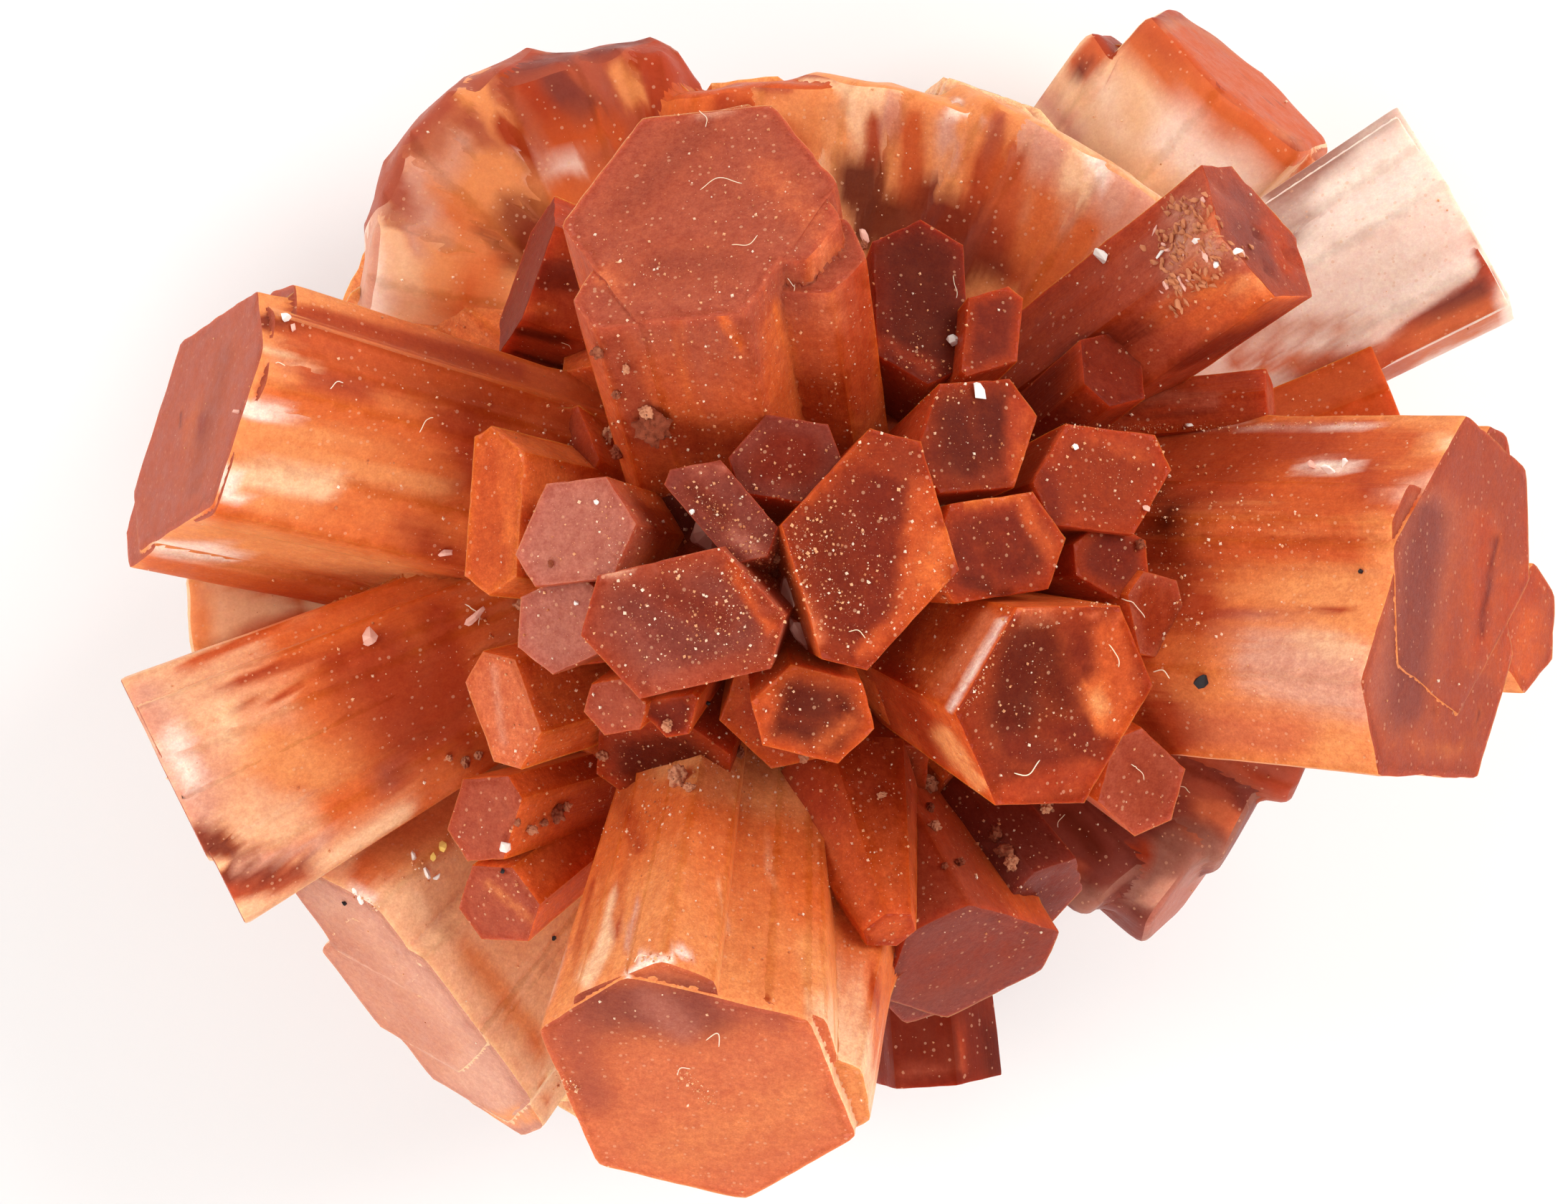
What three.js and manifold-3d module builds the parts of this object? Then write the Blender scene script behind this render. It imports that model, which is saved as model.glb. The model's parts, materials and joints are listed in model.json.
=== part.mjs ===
// Aragonite sputnik cluster: one mineral specimen in which many six-sided crystals
// have grown outwards from one centre until they run into each other. Every crystal
// is a prism with a flat end, narrower at the centre than at the tip, and all of them
// are one solid. Millimetres, +Z up. The origin is the middle of the flat end of the
// crystal that the cluster stands on.

import * as THREE from 'three';
import { mergeVertices } from 'three/addons/utils/BufferGeometryUtils.js';
import Module from 'manifold-3d';

const wasm = await Module();
wasm.setup();

// ---------------------------------------------------------------- driving sizes

const CENTRE_HEIGHT = 17; // the centre of growth above the surface
const WELD = 1e-4; // vertices closer than this are one vertex
const FAR = 60; // well beyond every end face
const STEEP = 0.7; // an axis that climbs more than this takes its bearings from +X

const UP = new THREE.Vector3(0, 0, 1);
const EAST = new THREE.Vector3(1, 0, 0);

// ---------------------------------------------------------------- one crystal

// Repeatable random numbers between 0 and 1.
function numberStream(seed) {
  let state = seed;
  return () => {
    state = (Math.imul(state, 1664525) + 1013904223) >>> 0;
    return state / 4294967296;
  };
}

// The end face of a prism: six sides 60 degrees apart, the first one facing `turn`,
// each at its own distance from the middle. A side too far out to matter drops out.
function endFace(turn, sides, [u, v]) {
  let outline = [[FAR, FAR], [-FAR, FAR], [-FAR, -FAR], [FAR, -FAR]];
  sides.forEach((distance, k) => {
    const angle = THREE.MathUtils.degToRad(turn + 60 * k);
    const beyond = ([x, y]) => x * Math.cos(angle) + y * Math.sin(angle) - distance;
    const kept = [];
    outline.forEach((a, i) => {
      const b = outline[(i + 1) % outline.length];
      const da = beyond(a);
      const db = beyond(b);
      if (da <= 0) kept.push(a);
      if (da < 0 !== db < 0) {
        const t = da / (da - db);
        kept.push([a[0] + (b[0] - a[0]) * t, a[1] + (b[1] - a[1]) * t]);
      }
    });
    outline = kept;
  });
  return outline.map(([x, y]) => new THREE.Vector2(x + u, y + v));
}

function toSolid(geometry) {
  geometry.deleteAttribute('normal');
  geometry.deleteAttribute('uv');
  const merged = mergeVertices(geometry, WELD);
  return new wasm.Manifold(new wasm.Mesh({
    numProp: 3,
    vertProperties: new Float32Array(merged.attributes.position.array),
    triVerts: new Uint32Array(merged.index.array),
  }));
}

// A direction from a compass heading (0 is +X, 90 is +Y) and a rise above level.
function direction(heading, rise) {
  const h = THREE.MathUtils.degToRad(heading);
  const r = THREE.MathUtils.degToRad(rise);
  return new THREE.Vector3(Math.cos(r) * Math.cos(h), Math.cos(r) * Math.sin(h), Math.sin(r));
}

// One prism: its end face lies at `tip`, square to the axis, and the prism runs back
// by `length` and narrows on the way. `step` sets the end back from the tip.
function prism({ tip, heading, rise, length, root }, lobe) {
  const { at, turn, sides, step = 0 } = lobe;
  const axis = direction(heading, rise);
  const reference = Math.abs(axis.z) > STEEP ? EAST : UP;
  const u = reference.clone().addScaledVector(axis, -reference.dot(axis)).normalize();
  const v = axis.clone().cross(u);
  const outline = new THREE.Shape(endFace(turn, sides, at));
  const reach = length - step;
  const geometry = new THREE.ExtrudeGeometry(outline, { depth: reach, bevelEnabled: false });
  const position = geometry.attributes.position;
  for (let i = 0; i < position.count; i += 1) {
    if (position.getZ(i) < reach / 2) {
      position.setXY(i, position.getX(i) * root, position.getY(i) * root);
    }
  }
  const base = new THREE.Vector3(...tip).addScaledVector(axis, -length);
  geometry.applyMatrix4(new THREE.Matrix4().makeBasis(u, v, axis).setPosition(base));
  return toSolid(geometry);
}

// ---------------------------------------------------------------- the crystals
// Tips are measured from the centre of growth. `heading` and `rise` are the way the
// crystal points. A pillar grown from several parallel crystals lists them as lobes.

const PILLARS = [
  { name: 'right pillar', tip: [20.2, -1.1, 8], heading: -3, rise: 30, length: 22, root: 0.85,
    lobes: [
      { at: [-1.2, -1.6], turn: 12, sides: [4.9, 4.5, 3.5, 4.4, 3.85, 3.5] },
      { at: [0.6, 1.8], turn: 30, sides: [4.5, 3.2, 4.6, 5.1, 3.4, 4.0], step: 0.05 },
      { at: [-6.7, 0.5], turn: 0, sides: [1.6, 1.7, 1.7, 1.9, 1.9, 1.7], step: 0.4 },
      { at: [-3.2, -4.0], turn: 20, sides: [1.3, 1.2, 1.2, 1.3, 1.5, 1.3], step: 0.2 },
      { at: [2.6, -2.4], turn: 18, sides: [1.2, 1.0, 1.3, 1.1, 1.2, 1.0], step: 0.1 },
    ] },
  { name: 'upper pillar', tip: [-2.2, 10.5, 12.5], heading: 102, rise: 49, length: 14, root: 0.88,
    lobes: [
      { at: [0, 0], turn: 30, sides: [3.95, 4.2, 3.6, 3.5, 4.05, 3.15] },
      { at: [-1.6, -2.3], turn: 30, sides: [2.5, 1.6, 1.6, 2.1, 1.7, 2.0], step: 0.1 },
      { at: [1.3, 2.5], turn: 40, sides: [1.4, 1.9, 1.6, 1.5, 1.5, 1.2], step: 0.1 },
      { at: [2.4, -0.6], turn: 24, sides: [1.6, 1.5, 1.2, 1.2, 1.4, 1.5], step: 0.05 },
      { at: [3.1, -1.0], turn: 20, sides: [1.5, 1.5, 1.4, 1.5, 1.4, 1.5], step: 1.1 },
    ] },
  { name: 'front pillar', tip: [-2.2, -15.2, 11], heading: -97, rise: 43, length: 18, root: 0.55,
    lobes: [
      { at: [0, 0], turn: 50, sides: [4.8, 4.1, 4.8, 4.7, 4.0, 4.0] },
      { at: [2.2, 1.6], turn: 40, sides: [2.3, 2.2, 2.0, 2.0, 2.1, 2.9], step: 0.1 },
      { at: [1.9, -2.2], turn: 46, sides: [1.7, 1.6, 1.7, 1.6, 1.6, 1.7], step: 0.3 },
    ] },
  { name: 'front side crystal', tip: [0.8, -15.6, 10.1], heading: -101, rise: 42, length: 12, root: 0.95,
    lobes: [
      { at: [0, 0], turn: 46, sides: [2.2, 1.8, 1.9, 2.0, 2.0, 2.1] },
    ] },
  { name: 'left pillar', tip: [-17.5, 4.5, 6], heading: 166, rise: 22, length: 18, root: 0.8,
    lobes: [
      { at: [0, 0], turn: 48, sides: [5.0, 3.3, 3.9, 4.8, 3.2, 3.9] },
      { at: [2.3, 2.2], turn: 20, sides: [2.1, 1.8, 1.8, 2.0, 2.0, 2.2], step: 0.3 },
      { at: [-2.6, -2.9], turn: 50, sides: [1.5, 1.5, 1.8, 1.9, 1.5, 1.4], step: 0.1 },
      { at: [1.4, 3.2], turn: 40, sides: [1.8, 1.4, 1.6, 1.5, 1.6, 1.7], step: 1.2 },
      { at: [2.4, -1.4], turn: 44, sides: [1.7, 1.4, 1.5, 1.4, 1.3, 1.4], step: 0.1 },
    ] },
  { name: 'lower left pillar', tip: [-18.2, -7.0, 3], heading: 206, rise: 4, length: 19, root: 0.5,
    lobes: [
      { at: [0, 1.1], turn: 30, sides: [3.4, 3.0, 3.4, 3.4, 3.1, 3.3] },
      { at: [-0.3, -2.3], turn: 24, sides: [2.5, 2.1, 2.2, 2.3, 1.8, 2.5], step: 0.15 },
      { at: [2.0, 1.5], turn: 36, sides: [1.9, 1.5, 1.4, 1.5, 1.6, 1.7], step: 0.1 },
    ] },
  { name: 'short left crystal', tip: [-18.2, -1.4, -2], heading: 184, rise: 0, length: 17, root: 0.62,
    lobes: [
      { at: [0, 0], turn: 6, sides: [2.6, 2.2, 2.2, 2.4, 2.0, 2.4] },
      { at: [1.0, 1.4], turn: 20, sides: [1.3, 1.2, 1.2, 1.1, 1.3, 1.2], step: 0.5 },
    ] },
  { name: 'bottom left pillar', tip: [-10.7, -14.0, 0], heading: 229, rise: 25, length: 18, root: 0.6,
    lobes: [
      { at: [1.9, 3.5], turn: 29, sides: [2.3, 2.4, 2.0, 1.9, 2.2, 2.2] },
      { at: [0.5, 1.2], turn: 29, sides: [3.1, 2.8, 3.0, 3.1, 2.9, 2.8] },
      { at: [-0.7, -1.3], turn: 29, sides: [2.6, 2.6, 2.5, 2.4, 2.6, 2.6], step: 0.03 },
      { at: [-1.2, -2.9], turn: 20, sides: [1.8, 1.7, 1.5, 1.5, 1.7, 1.8], step: 0.06 },
    ] },
  { name: 'north west prism', tip: [-7.6, 9.2, 2.4], heading: 160, rise: 12, length: 9, root: 0.85,
    lobes: [
      { at: [0, 0], turn: 4, sides: [1.9, 2.2, 2.1, 1.8, 2.2, 2.3] },
    ] },
  { name: 'glowing pillar', tip: [14.6, 16.2, -8], heading: 50, rise: 15, length: 21, root: 0.6,
    lobes: [
      { at: [0, 0], turn: 22, sides: [4.0, 3.9, 3.8, 3.3, 3.1, 3.3] },
      { at: [-0.6, 2.6], turn: 30, sides: [2.3, 1.7, 2.0, 2.2, 2.0, 2.1], step: 0.2 },
      { at: [0.2, -3.1], turn: 12, sides: [1.7, 1.5, 1.4, 1.6, 1.2, 1.3], step: 1.8 },
    ] },
  { name: 'white pillar', tip: [21.4, 11.5, -4], heading: 30, rise: 2, length: 22, root: 0.6,
    lobes: [
      { at: [0, 0], turn: 18, sides: [3.4, 3.7, 3.6, 3.2, 3.4, 3.4] },
      { at: [1.6, 2.0], turn: 30, sides: [1.6, 1.5, 1.4, 1.5, 1.5, 1.6], step: 0.15 },
      { at: [0.8, -2.0], turn: 24, sides: [1.8, 1.5, 1.4, 1.6, 1.3, 1.8], step: 0.2 },
    ] },
  { name: 'pitted prism', tip: [14.8, 10.1, 6], heading: 36, rise: 27, length: 15, root: 0.8,
    lobes: [
      { at: [0, 0], turn: 15, sides: [2.2, 2.0, 1.9, 1.9, 2.6, 2.3] },
    ] },
  { name: 'lower right pillar', tip: [6.0, -11.7, 5], heading: -62, rise: 33, length: 13, root: 0.7,
    lobes: [
      { at: [0, 0], turn: 57, sides: [2.7, 2.5, 2.6, 2.9, 1.9, 2.9] },
      { at: [-0.6, 1.4], turn: 40, sides: [1.6, 1.5, 1.7, 1.6, 1.5, 1.6], step: 0.15 },
    ] },
  { name: 'lower right second', tip: [8.1, -10.1, 3], heading: -52, rise: 26, length: 11, root: 0.9,
    lobes: [
      { at: [0, 0], turn: 20, sides: [1.7, 1.6, 1.8, 1.7, 1.5, 1.8] },
    ] },
  { name: 'dark lower prism', tip: [5.1, -15.9, -4], heading: -85, rise: -4, length: 15, root: 0.75,
    lobes: [
      { at: [0, 0], turn: 12, sides: [2.0, 1.8, 1.9, 2.1, 1.8, 1.9] },
    ] },
  { name: 'back right prism', tip: [13.2, -10.0, -7], heading: -38, rise: 12, length: 15, root: 0.6,
    lobes: [
      { at: [0, 0], turn: 14, sides: [2.3, 2.3, 2.3, 2.2, 2.3, 2.3] },
    ] },
  { name: 'back right stub', tip: [10.8, -10.2, -6], heading: -48, rise: 4, length: 14, root: 0.6,
    lobes: [
      { at: [0, 0], turn: 40, sides: [1.6, 1.5, 1.6, 1.5, 1.6, 1.5] },
    ] },
  { name: 'back right second', tip: [15.0, -8.0, -7], heading: -29, rise: 6, length: 15, root: 0.7,
    lobes: [
      { at: [0, 0], turn: 8, sides: [1.9, 2.0, 1.9, 1.8, 2.0, 1.9] },
    ] },
  { name: 'far right stub', tip: [16.9, -6.1, -6], heading: -23, rise: 3, length: 15, root: 0.6,
    lobes: [
      { at: [0, 0], turn: 5, sides: [1.5, 1.5, 1.4, 1.5, 1.4, 1.5] },
    ] },
  { name: 'red spur', tip: [19.2, 5.5, -1], heading: 22, rise: 3, length: 14, root: 0.8,
    lobes: [
      { at: [0, 0], turn: 20, sides: [1.6, 1.5, 1.5, 1.6, 1.5, 1.6] },
    ] },
];

// Two fans of crystals grown side by side, behind the upper pillar: a worn, lumpy one to
// the left and a fibrous one above. Tip x, y, z, heading, rise, half width, thickness
// and turn.
const FANS = [
  [-13.0, 10.1, -5.9, 170, 3, 2.3, 2.6, 2],
  [-12.3, 12.8, -6.0, 152, 3, 2.4, 2.7, -3],
  [-11.2, 14.6, -5.9, 136, 3, 2.4, 2.7, 3],
  [-9.7, 15.7, -6.1, 123, 3, 2.5, 2.8, -2],
  [-7.6, 16.2, -6.0, 108, 3, 2.6, 2.7, 3],
  [-5.6, 16.7, -6.2, 107, 3, 2.0, 2.6, -3],
  [-4.1, 16.7, -6.1, 97, 3, 1.4, 2.4, 3],
  [-1.4, 15.4, -5.0, 97, 3, 2.6, 2.6, 2],
  [1.2, 15.5, -4.8, 88, 3, 2.8, 2.6, -2],
  [3.7, 15.4, -4.5, 78, 3, 2.8, 2.7, 3],
  [5.9, 14.7, -4.2, 69, 3, 2.8, 2.6, -3],
  [8.0, 14.4, -3.8, 63, 3, 2.6, 2.6, 2],
  [9.5, 13.6, -3.4, 60, 3, 2.4, 2.6, -2],
  [11.3, 12.4, -3.1, 57, 3, 2.2, 2.6, 2],
];
const FAN_CRYSTAL = { length: 14, root: 0.55 };

// Single crystals: tip x, y, z, heading, rise, turn, the six side distances, length,
// and the root width.
const SINGLES = [
  [2.8, 0.7, 13.5, 13, 78, 17, [2.4, 3.4, 2.35, 2.3, 3.5, 2.4], 8, 0.7],
  [6.1, 4.0, 11.5, 33, 62, 41, [2.0, 1.7, 1.7, 2.2, 1.6, 1.5], 7, 0.7],
  [6.7, 0.7, 12.0, 6, 64, 39, [1.9, 1.5, 2.0, 2.2, 1.4, 1.9], 7, 0.7],
  [8.3, -3.9, 12.5, -22, 60, 25, [3.1, 2.9, 2.8, 3.0, 3.0, 2.6], 9, 0.7],
  [9.8, 2.9, 10.0, 17, 62, 28, [2.2, 1.4, 1.8, 2.3, 1.7, 1.8], 7, 0.7],
  [10.1, 0.4, 9.6, 3, 62, 5, [1.2, 1.0, 1.1, 1.3, 1.0, 1.1], 5, 1.0],
  [11.4, -1.2, 9.0, -6, 50, 16, [1.1, 1.1, 1.2, 0.9, 1.3, 1.0], 6, 1.0],
  [11.0, -6.3, 8.5, -35, 58, 44, [1.2, 1.7, 1.3, 1.3, 1.6, 1.4], 6, 0.9],
  [-5.9, 1.1, 12.0, 170, 66, 34, [1.8, 1.6, 1.5, 1.9, 1.4, 1.7], 7, 0.8],
  [-6.3, -1.6, 11.2, 194, 64, 56, [1.6, 1.3, 1.4, 1.4, 1.2, 1.4], 7, 0.8],
  [-2.7, -1.5, 13.5, 210, 77, 44, [2.4, 1.9, 2.8, 2.5, 1.9, 2.9], 8, 0.7],
  [-1.5, 1.8, 13.0, 129, 78, 40, [0.9, 1.5, 1.9, 0.8, 1.6, 1.7], 7, 0.8],
  [0.4, 3.3, 12.2, 95, 72, 20, [1.5, 1.3, 1.4, 1.6, 1.2, 1.4], 7, 0.8],
  [-8.4, 1.9, 9.5, 170, 52, 55, [2.0, 2.3, 0.9, 2.2, 2.3, 1.1], 7, 0.9],
  [-8.1, -4.1, 8.5, 195, 50, 26, [1.1, 1.6, 1.6, 1.1, 1.7, 1.5], 8, 0.9],
  [-4.7, -4.0, 11.0, 220, 64, 45, [0.8, 0.8, 0.9, 0.9, 0.8, 0.9], 6, 0.9],
  [-3.0, -4.2, 11.0, 235, 66, 45, [0.9, 0.5, 0.8, 0.7, 0.7, 0.6], 6, 0.9],
  [1.2, -4.2, 12.5, -74, 72, 14, [1.6, 1.3, 1.6, 1.7, 1.3, 1.6], 7, 0.8],
  [-8.7, -7.4, 6.2, 195, 54, 40, [1.5, 1.2, 1.2, 1.5, 1.3, 1.0], 7, 0.9],
  [-8.4, -10.1, 5.0, 218, 50, 43, [1.4, 1.3, 1.2, 1.4, 1.2, 1.3], 7, 0.9],
  [4.4, 8.4, 8.0, 63, 62, 2, [1.4, 2.2, 2.1, 1.4, 2.6, 2.7], 8, 0.8],
  [6.5, 7.3, 9.0, 48, 62, 54, [1.5, 1.1, 0.8, 1.8, 1.2, 0.9], 7, 0.8],
  [3.5, -10.7, 9.0, -72, 42, 30, [0.7, 0.8, 0.7, 0.7, 0.7, 0.7], 6, 3.0],
  [10.2, 6.1, 6.5, 40, 42, 12, [1.3, 1.1, 1.2, 1.3, 1.2, 1.1], 6, 0.9],
  [15.2, 5.2, 3.2, 5, 10, 12, [1.0, 0.9, 1.0, 1.1, 0.9, 1.0], 9, 0.9],
];

// Crystals on the underside, which the foot holds clear of the surface:
// heading, rise, length from the centre, and mean half width.
const UNDERSIDE = [
  [20, -28, 17.5, 3.4],
  [62, -24, 17.0, 2.9],
  [98, -34, 16.5, 3.2],
  [140, -30, 17.5, 3.0],
  [178, -26, 18.0, 3.3],
  [216, -32, 17.0, 2.8],
  [252, -22, 18.5, 3.1],
  [284, -36, 16.5, 3.0],
  [325, -42, 17.0, 2.7],
  [352, -34, 17.0, 2.3],
  [42, -58, 16.2, 2.7],
  [112, -60, 16.5, 2.5],
  [165, -57, 16.0, 2.8],
  [232, -59, 16.4, 2.6],
  [305, -57, 16.0, 2.9],
];

const TWIN_WIDTH = 0.6; // a twin's width, as a share of its neighbour's
const TWIN_SHIFT = 0.65; // how far apart their middles are, in half widths
const TWIN_STEP = [0.2, 0.9]; // how far short of its neighbour a twin ends

// Short crystals that close the ground between the others, all round the centre.
const INFILL_COUNT = 48;
const INFILL_LENGTH = [8.2, 10.2];
const INFILL_HALF_WIDTH = [1.3, 2.1];
const GOLDEN_ANGLE = 180 * (3 - Math.sqrt(5)); // spaces them evenly round the centre

const ROOT_WIDTH = 0.45; // width at the centre, as a share of the width at the tip
const UNEVEN = [0.84, 1.14]; // a side's distance from the middle, in half widths
const GROUND_RADIUS = 7.6; // the roots run together into solid ground this far out

// The crystal that the cluster stands on points straight down.
const FOOT = { tip: [0, 0, -CENTRE_HEIGHT], heading: 0, rise: -90, length: CENTRE_HEIGHT, root: 0.5 };
const FOOT_LOBES = [
  { at: [0, 0], turn: 14, sides: [4.6, 4.3, 4.7, 4.4, 4.5, 4.2] },
  { at: [2.6, 1.9], turn: 18, sides: [2.4, 2.6, 2.3, 2.5, 2.4, 2.2] },
];

// ---------------------------------------------------------------- growing the cluster

const random = numberStream(20);
const between = ([low, high]) => low + (high - low) * random();

// A six-sided outline near a half width, no two sides alike.
function unevenSides(halfWidth) {
  return Array.from({ length: 6 }, () => halfWidth * between(UNEVEN));
}

function fromCentre(heading, rise, length, halfWidth) {
  const tip = direction(heading, rise).multiplyScalar(length).toArray();
  const lobe = { at: [0, 0], turn: between([0, 60]), sides: unevenSides(halfWidth) };
  return [{ tip, heading, rise, length, root: ROOT_WIDTH }, lobe];
}

// A thinner crystal grown along the side of another, ending a little short of it.
function twinOf(lobe, halfWidth) {
  const bearing = between([0, 2 * Math.PI]);
  const shift = TWIN_SHIFT * halfWidth;
  return {
    at: [shift * Math.cos(bearing), shift * Math.sin(bearing)],
    turn: lobe.turn,
    sides: unevenSides(TWIN_WIDTH * halfWidth),
    step: between(TWIN_STEP),
  };
}

const solids = [];

PILLARS.forEach((pillar) => {
  pillar.lobes.forEach((lobe) => solids.push(prism(pillar, lobe)));
});

// A fan crystal's sides lie round an oval of its half width and thickness.
FANS.forEach(([x, y, z, heading, rise, halfWidth, thickness, turn]) => {
  const sides = Array.from({ length: 6 }, (_, k) => {
    const angle = THREE.MathUtils.degToRad(turn + 60 * k);
    return Math.hypot(thickness * Math.cos(angle), halfWidth * Math.sin(angle));
  });
  solids.push(prism({ tip: [x, y, z], heading, rise, ...FAN_CRYSTAL }, { at: [0, 0], turn, sides }));
});

SINGLES.forEach(([x, y, z, heading, rise, turn, sides, length, root]) => {
  solids.push(prism({ tip: [x, y, z], heading, rise, length, root }, { at: [0, 0], turn, sides }));
});

UNDERSIDE.forEach(([heading, rise, length, halfWidth]) => {
  const [crystal, lobe] = fromCentre(heading, rise, length, halfWidth);
  const lobes = [lobe, twinOf(lobe, halfWidth), twinOf(lobe, halfWidth)];
  lobes.forEach((each) => solids.push(prism(crystal, each)));
});

for (let k = 0; k < INFILL_COUNT; k += 1) {
  const rise = THREE.MathUtils.radToDeg(Math.asin(1 - (2 * (k + 0.5)) / INFILL_COUNT));
  solids.push(prism(...fromCentre(
    GOLDEN_ANGLE * k,
    rise,
    between(INFILL_LENGTH),
    between(INFILL_HALF_WIDTH),
  )));
}

FOOT_LOBES.forEach((lobe) => solids.push(prism(FOOT, lobe)));

solids.push(toSolid(new THREE.IcosahedronGeometry(GROUND_RADIUS, 1)));

// Where crystals meet they can shut in a small space, whose walls come out of the
// join as a separate shell: only the outer shell is the part.
const grown = solids
  .reduce((whole, solid) => whole.add(solid))
  .decompose()
  .reduce((largest, shell) => (shell.volume() > largest.volume() ? shell : largest));

// ---------------------------------------------------------------- the part

const { vertProperties, triVerts } = grown.getMesh();
const geometry = new THREE.BufferGeometry();
geometry.setAttribute('position', new THREE.BufferAttribute(vertProperties, 3));
geometry.setIndex(new THREE.BufferAttribute(triVerts, 1));
geometry.computeVertexNormals();

const cluster = new THREE.Mesh(geometry, new THREE.MeshStandardMaterial({
  color: 0xc8683c,
  roughness: 0.45,
  metalness: 0,
}));
cluster.name = 'crystal_cluster';
cluster.position.z = CENTRE_HEIGHT;

const part = new THREE.Group();
part.add(cluster);

export default part;
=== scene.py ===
import json
import math

import bmesh
import bpy
import numpy as np
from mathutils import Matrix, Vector, geometry
from mathutils.bvhtree import BVHTree

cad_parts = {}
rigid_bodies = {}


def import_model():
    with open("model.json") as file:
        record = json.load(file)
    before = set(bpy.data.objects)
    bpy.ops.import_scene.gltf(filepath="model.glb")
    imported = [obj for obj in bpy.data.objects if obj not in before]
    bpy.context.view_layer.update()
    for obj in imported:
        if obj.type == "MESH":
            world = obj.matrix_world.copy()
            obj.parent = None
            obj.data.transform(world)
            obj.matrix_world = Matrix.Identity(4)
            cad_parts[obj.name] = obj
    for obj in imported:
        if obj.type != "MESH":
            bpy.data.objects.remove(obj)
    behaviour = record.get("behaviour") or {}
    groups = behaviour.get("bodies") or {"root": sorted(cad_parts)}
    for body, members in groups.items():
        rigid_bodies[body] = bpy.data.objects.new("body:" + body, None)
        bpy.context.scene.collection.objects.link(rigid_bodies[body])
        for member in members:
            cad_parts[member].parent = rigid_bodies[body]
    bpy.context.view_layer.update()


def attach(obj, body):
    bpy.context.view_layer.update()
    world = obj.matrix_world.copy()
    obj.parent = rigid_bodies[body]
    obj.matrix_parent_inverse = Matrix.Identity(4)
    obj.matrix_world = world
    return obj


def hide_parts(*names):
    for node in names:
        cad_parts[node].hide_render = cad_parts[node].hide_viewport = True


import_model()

# ---------------------------------------------------------------- table and studio
# A plain pale table top that the cluster stands on, in a white tent with three wide lamps.
# The camera looks straight down on it. Sizes here and below are in millimetres, and MM
# turns them into metres where a mesh, lamp or camera is made.

MM = 0.001
CENTRE_HEIGHT = 17.0  # the centre of growth above the table
CAMERA_DISTANCE = 250.0  # from the centre of growth up to the camera
CAMERA_SHIFT = (0.30, -0.89)  # the camera's axis, beside the centre of growth
VIEW_WIDTH = 48.6  # how much of the centre's level the frame takes in
SENSOR = 36.0
TABLE_SIZE = 900.0
TABLE_SHADES = ((0.86, 0.87, 0.88, 1.0), (0.89, 0.90, 0.91, 1.0))
TENT_WHITE = (1.0, 0.985, 0.965, 1.0)
TENT_TOP = (0.28, 0.27, 0.26, 1.0)  # the tent's top is open to a dim ceiling
TENT_STRENGTH = 0.88
LAMP_SIZE = 260.0
LAMPS = (  # power, place and colour
    (1.5, (300, 160, 330), (1.0, 0.98, 0.95)),
    (0.9, (-330, 60, 300), (1.0, 0.98, 0.96)),
    (0.8, (-40, -340, 300), (1.0, 0.98, 0.96)),
)


class Field:
    """A number, colour or direction that varies over a surface: an output of a node."""

    def __init__(self, socket):
        self.socket = socket
        self.tree = socket.id_data

    def also(self, output):
        """Another output of the same node."""
        return Field(self.socket.node.outputs[output])

    def math(self, operation, other):
        return node(self.tree, "ShaderNodeMath", {0: self, 1: other}, operation=operation)

    def __add__(self, other):
        return self.math("ADD", other)

    def __sub__(self, other):
        return self.math("SUBTRACT", other)

    def __mul__(self, other):
        return self.math("MULTIPLY", other)

    def ramp(self, low, high, bottom=0.0, top=1.0):
        """Eases from bottom to top as this goes from low to high."""
        values = {"Value": self, "From Min": low, "From Max": high, "To Min": bottom, "To Max": top}
        return node(self.tree, "ShaderNodeMapRange", values, "Result", interpolation_type="SMOOTHSTEP")

    def mix(self, a, b):
        """Colour a where this is 0, b where it is 1."""
        return node(self.tree, "ShaderNodeMix", {0: self, 6: a, 7: b}, 2, data_type="RGBA")

    def blend(self, a, b):
        """Number a where this is 0, b where it is 1."""
        return node(self.tree, "ShaderNodeMix", {0: self, 2: a, 3: b}, data_type="FLOAT")


def connect(made, inputs):
    """Gives each named input of a node a value, or the field that feeds it."""
    for name, value in inputs.items():
        if isinstance(value, Field):
            value.tree.links.new(value.socket, made.inputs[name])
        else:
            made.inputs[name].default_value = value


def node(tree, kind, inputs=None, output=0, **settings):
    """Adds a node and returns one of its outputs."""
    made = tree.nodes.new(kind)
    for name, value in settings.items():
        setattr(made, name, value)
    connect(made, inputs or {})
    return Field(made.outputs[output])


def noise(vector, scale, detail=2.0, roughness=0.5, distortion=0.0):
    values = {"Vector": vector, "Scale": scale, "Detail": detail, "Roughness": roughness,
              "Distortion": distortion}
    return node(vector.tree, "ShaderNodeTexNoise", values, "Fac")


def place_in_mm(tree):
    """The shaded point's place on the object, in millimetres."""
    here = node(tree, "ShaderNodeTexCoord", output="Object")
    return node(tree, "ShaderNodeVectorMath", {0: here, "Scale": 1 / MM}, operation="SCALE")


def new_material(name):
    material = bpy.data.materials.new(name)
    material.use_nodes = True
    tree = material.node_tree
    return material, tree, tree.nodes["Principled BSDF"]


def table_material():
    material, tree, shader = new_material("table_white")
    grain = noise(place_in_mm(tree), 0.05, 3.0)
    connect(shader, {"Base Color": grain.mix(*TABLE_SHADES), "Roughness": 0.8,
                     "Specular IOR Level": 0.2})
    return material


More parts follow.
